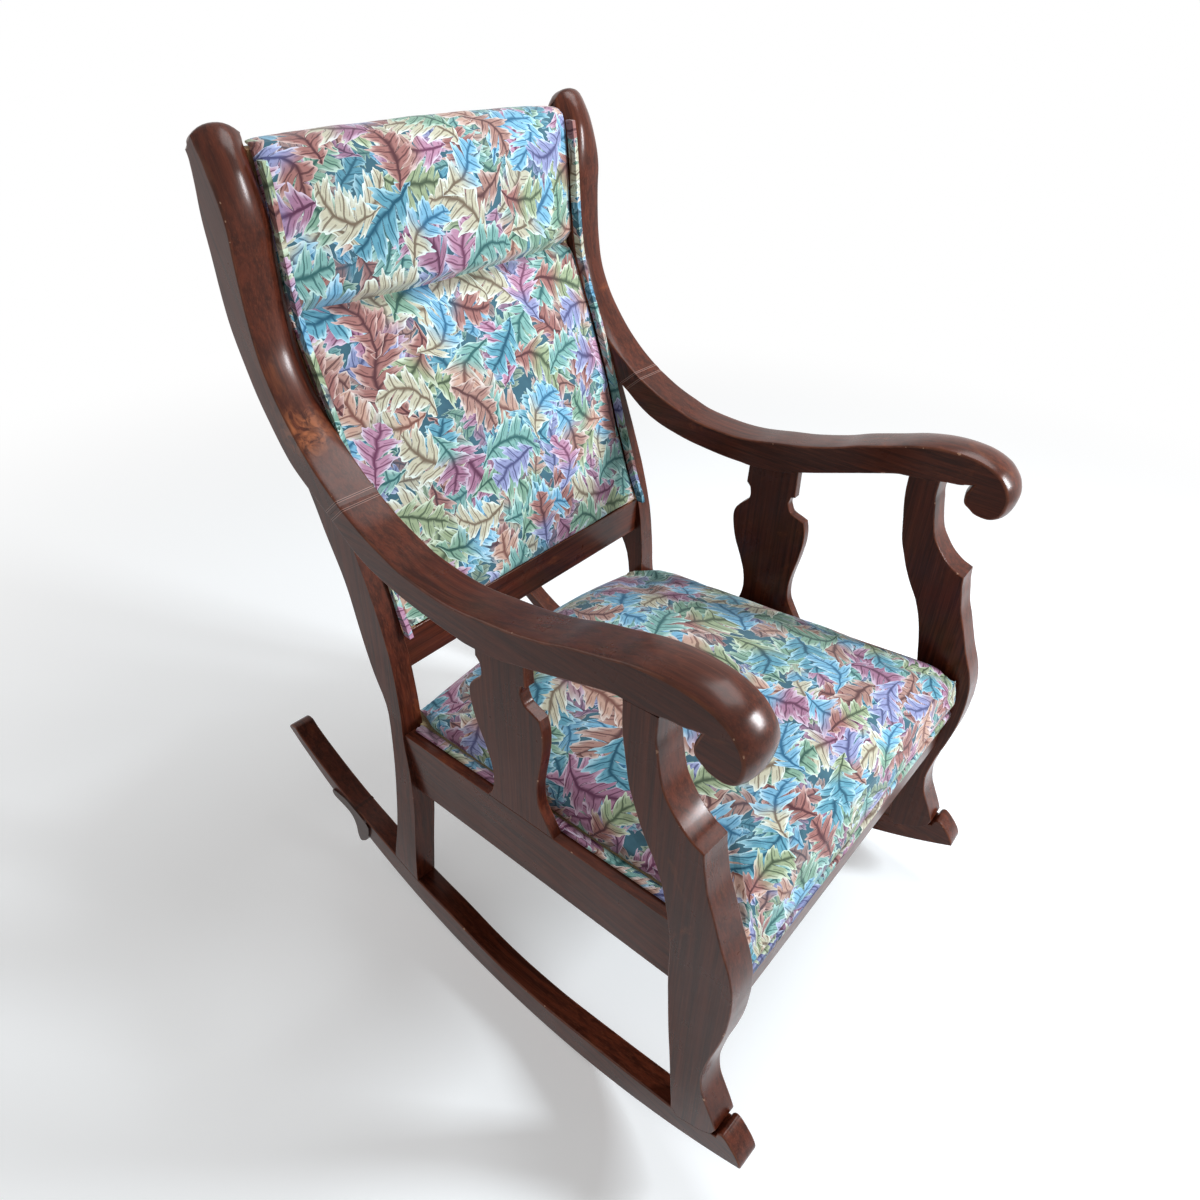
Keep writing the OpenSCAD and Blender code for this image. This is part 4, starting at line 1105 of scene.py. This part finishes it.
for node, name, way in (("back_cushion", "back_pad", 1), ("headrest", "head_pad", -1)):
    pad = make(name, from_nodes(node), [TAPESTRY])
    settle(pad, cap=6 * MM, hold=back_hold)
    sew(pad, way)
    creased(pad, depth=1.0 * MM, scale=13.0, keep=lambda x, y, z: 1.0)
    cloth_map(pad, back_cloth)
    hand_over(pad, node, slot="tapestry")


def strip_cloth(p):
    """Cover of the back's sides and rear: across and into the back, and along its lean."""
    x, y, z = p.T
    return np.stack([x + into_back(y, z) + STRIP_CUT[0], along_back(y, z) + STRIP_CUT[1]], 1)


def cord_cloth(p):
    x, y, z = p.T
    return np.stack([x + CORD_CUT, y + z], 1)


# How much the cover adds to each of these pieces, and how its cloth lies
COVERED = {
    "seat_welt": (1.2 * MM, cord_cloth),
    "back_welt": (0.6 * MM, strip_cloth),
    "outside_back": (0.0, strip_cloth),
}
for node, (cover, lay_out) in COVERED.items():
    bm = from_nodes(node)
    bm.normal_update()
    for v in bm.verts:
        v.co += v.normal * cover
    ob = make("vis_" + node, bm, [TAPESTRY])
    ob.data.set_sharp_from_angle(angle=math.radians(40))
    cloth_map(ob, lay_out)
    hand_over(ob, node, slot="tapestry")


# Pieces that stay as the CAD draws them get a fitting material

def plain(name, lo, hi, rough, scale, metal=0.0):
    """A plain material, mottled between two colours."""
    mat, n, out = shader(name)
    at = n.new("ShaderNodeTexCoord").outputs["Object"]
    t = n.noise(at, scale, 3.0, 0.6)
    n.put(out.inputs["Base Color"], n.mix(n.ramp(t, 0.3, 0.7), lo, hi))
    n.put(out.inputs["Roughness"], n.ramp(t, 0.3, 0.7, rough - 0.08, rough + 0.08))
    out.inputs["Metallic"].default_value = metal
    n.put(out.inputs["Normal"], n.bump(t, 0.2, 0.0006))
    return mat


CANVAS = plain("canvas_web", rgb(150, 128, 92), rgb(188, 168, 130), 0.9, scale=500)
CAMBRIC = plain("cambric", rgb(20, 20, 22), rgb(38, 38, 40), 0.92, scale=700)
STEEL = plain("dull_steel", rgb(96, 96, 98), rgb(140, 138, 134), 0.45, metal=0.9, scale=80)
BARE = plain("bare_wood", rgb(140, 104, 70), rgb(182, 142, 100), 0.75, scale=60)
kept = {
    "seat_webbing": CANVAS, "back_webbing": CANVAS, "seat_deck": CANVAS, "dust_cover": CAMBRIC,
    "seat_springs": STEEL, "screws": STEEL, "tacks": STEEL, "dowels": BARE, "crest_rail": BARE,
}
for s in SIDES:
    for kind in ("back_stile_", "corner_block_front_", "corner_block_rear_"):
        kept[kind + s] = BARE
for node, mat in kept.items():
    me = nodes[node].data
    if not me.materials:
        me.materials.append(mat)
    for i in range(len(me.materials)):
        me.materials[i] = mat


# Floor, light and camera

def seen(n):
    """1 for rays from the camera and for mirrored or refracted ones."""
    path = n.new("ShaderNodeLightPath").outputs
    return n.top(path["Is Camera Ray"], n.top(path["Is Glossy Ray"], path["Is Transmission Ray"]))


FLOOR_SIZE = 60
FLOOR_COLOUR = (0.80, 0.80, 0.80, 1)
# What the camera sees besides the lit floor, and the distances over which that becomes plain white
FLOOR_GLOW = 0.30
FLOOR_FADE = (0.9, 2.6)


def white_floor():
    """Pale floor that keeps the shadow near the chair and turns into the white backdrop far away."""
    bpy.ops.mesh.primitive_plane_add(size=FLOOR_SIZE, location=(0, 0, -0.0005))
    floor = bpy.context.object
    floor.name = "floor"
    mat = bpy.data.materials.new("floor_white")
    mat.use_nodes = True
    n = Net(mat.node_tree)
    n.tree.nodes.remove(n.tree.nodes["Principled BSDF"])
    soft = n.new("ShaderNodeBsdfDiffuse")
    soft.inputs["Color"].default_value = FLOOR_COLOUR
    glow = n.new("ShaderNodeEmission")
    n.put(glow.inputs["Strength"], n.mul(seen(n), FLOOR_GLOW))
    near = n.new("ShaderNodeAddShader")
    n.put(near.inputs[0], soft.outputs[0])
    n.put(near.inputs[1], glow.outputs[0])
    x, y, _ = n.split(n.new("ShaderNodeTexCoord").outputs["Object"])
    away = n.ramp(n.m("SQRT", n.add(n.mul(x, x), n.mul(y, y))), *FLOOR_FADE)
    far = n.new("ShaderNodeEmission")
    both = n.new("ShaderNodeMixShader")
    n.put(both.inputs[0], n.mul(away, seen(n)))
    n.put(both.inputs[1], near.outputs[0])
    n.put(both.inputs[2], far.outputs[0])
    n.put(n.tree.nodes["Material Output"].inputs["Surface"], both.outputs[0])
    floor.data.materials.append(mat)


def light(name, loc, target, size, power, color):
    """A window of light at loc that faces target."""
    d = bpy.data.lights.new(name, "AREA")
    d.shape = "RECTANGLE"
    d.energy = power
    d.color = color
    d.size, d.size_y = size
    ob = bpy.data.objects.new(name, d)
    ob.location = loc
    ob.rotation_euler = (Vector(target) - Vector(loc)).to_track_quat("-Z", "Y").to_euler()
    scene.collection.objects.link(ob)


white_floor()
world = bpy.data.worlds.new("studio")
scene.world = world
world.use_nodes = True
sky = Net(world.node_tree)
background = world.node_tree.nodes["Background"]
# Strength of the white world for all but camera, mirrored and refracted rays, which see it at 1
AMBIENT = 0.27
sky.put(background.inputs["Strength"], sky.add(sky.mul(seen(sky), 1 - AMBIENT), AMBIENT))
background.inputs["Color"].default_value = (1, 1, 1, 1)
light("key_window", (1.15, -1.9, 1.5), (0, -0.1, 0.6), (0.34, 0.60), 60, (0.86, 0.94, 1.0))
light("top_window", (0.9, -0.4, 2.5), (-0.1, 0.0, 0.6), (1.2, 1.0), 29, (0.90, 0.96, 1.0))
light("rear_fill", (-1.2, 2.2, 2.0), (0.0, 0.0, 0.6), (1.6, 1.4), 13, (1.0, 1.0, 1.0))

# The view of the photograph, found from the chair's own edges: place, heading, dip and roll
VIEW_FROM = (-0.7526, -0.5931, 1.1881)
VIEW_HEADING = math.radians(-50.05)
VIEW_DIP = math.radians(35.54)
VIEW_ROLL = math.radians(1.29)
# Side, focal length and centre of the view, in pixels of the photograph
PHOTO_SIDE = 1200
PHOTO_FOCUS = 865.79
PHOTO_CENTRE = (596.49, 596.82)
cam = bpy.data.cameras.new("view")
eye = bpy.data.objects.new("view", cam)
scene.collection.objects.link(eye)
turn = Matrix.Rotation(VIEW_HEADING, 4, "Z") @ Matrix.Rotation(math.radians(90) - VIEW_DIP, 4, "X")
eye.matrix_world = Matrix.Translation(VIEW_FROM) @ turn @ Matrix.Rotation(VIEW_ROLL, 4, "Z")
cam.sensor_width = 36.0
cam.lens = PHOTO_FOCUS / PHOTO_SIDE * cam.sensor_width
cam.shift_x = (PHOTO_SIDE / 2 - PHOTO_CENTRE[0]) / PHOTO_SIDE
cam.shift_y = (PHOTO_CENTRE[1] - PHOTO_SIDE / 2) / PHOTO_SIDE
cam.clip_start = 0.05
scene.camera = eye
scene.view_settings.view_transform = "Standard"
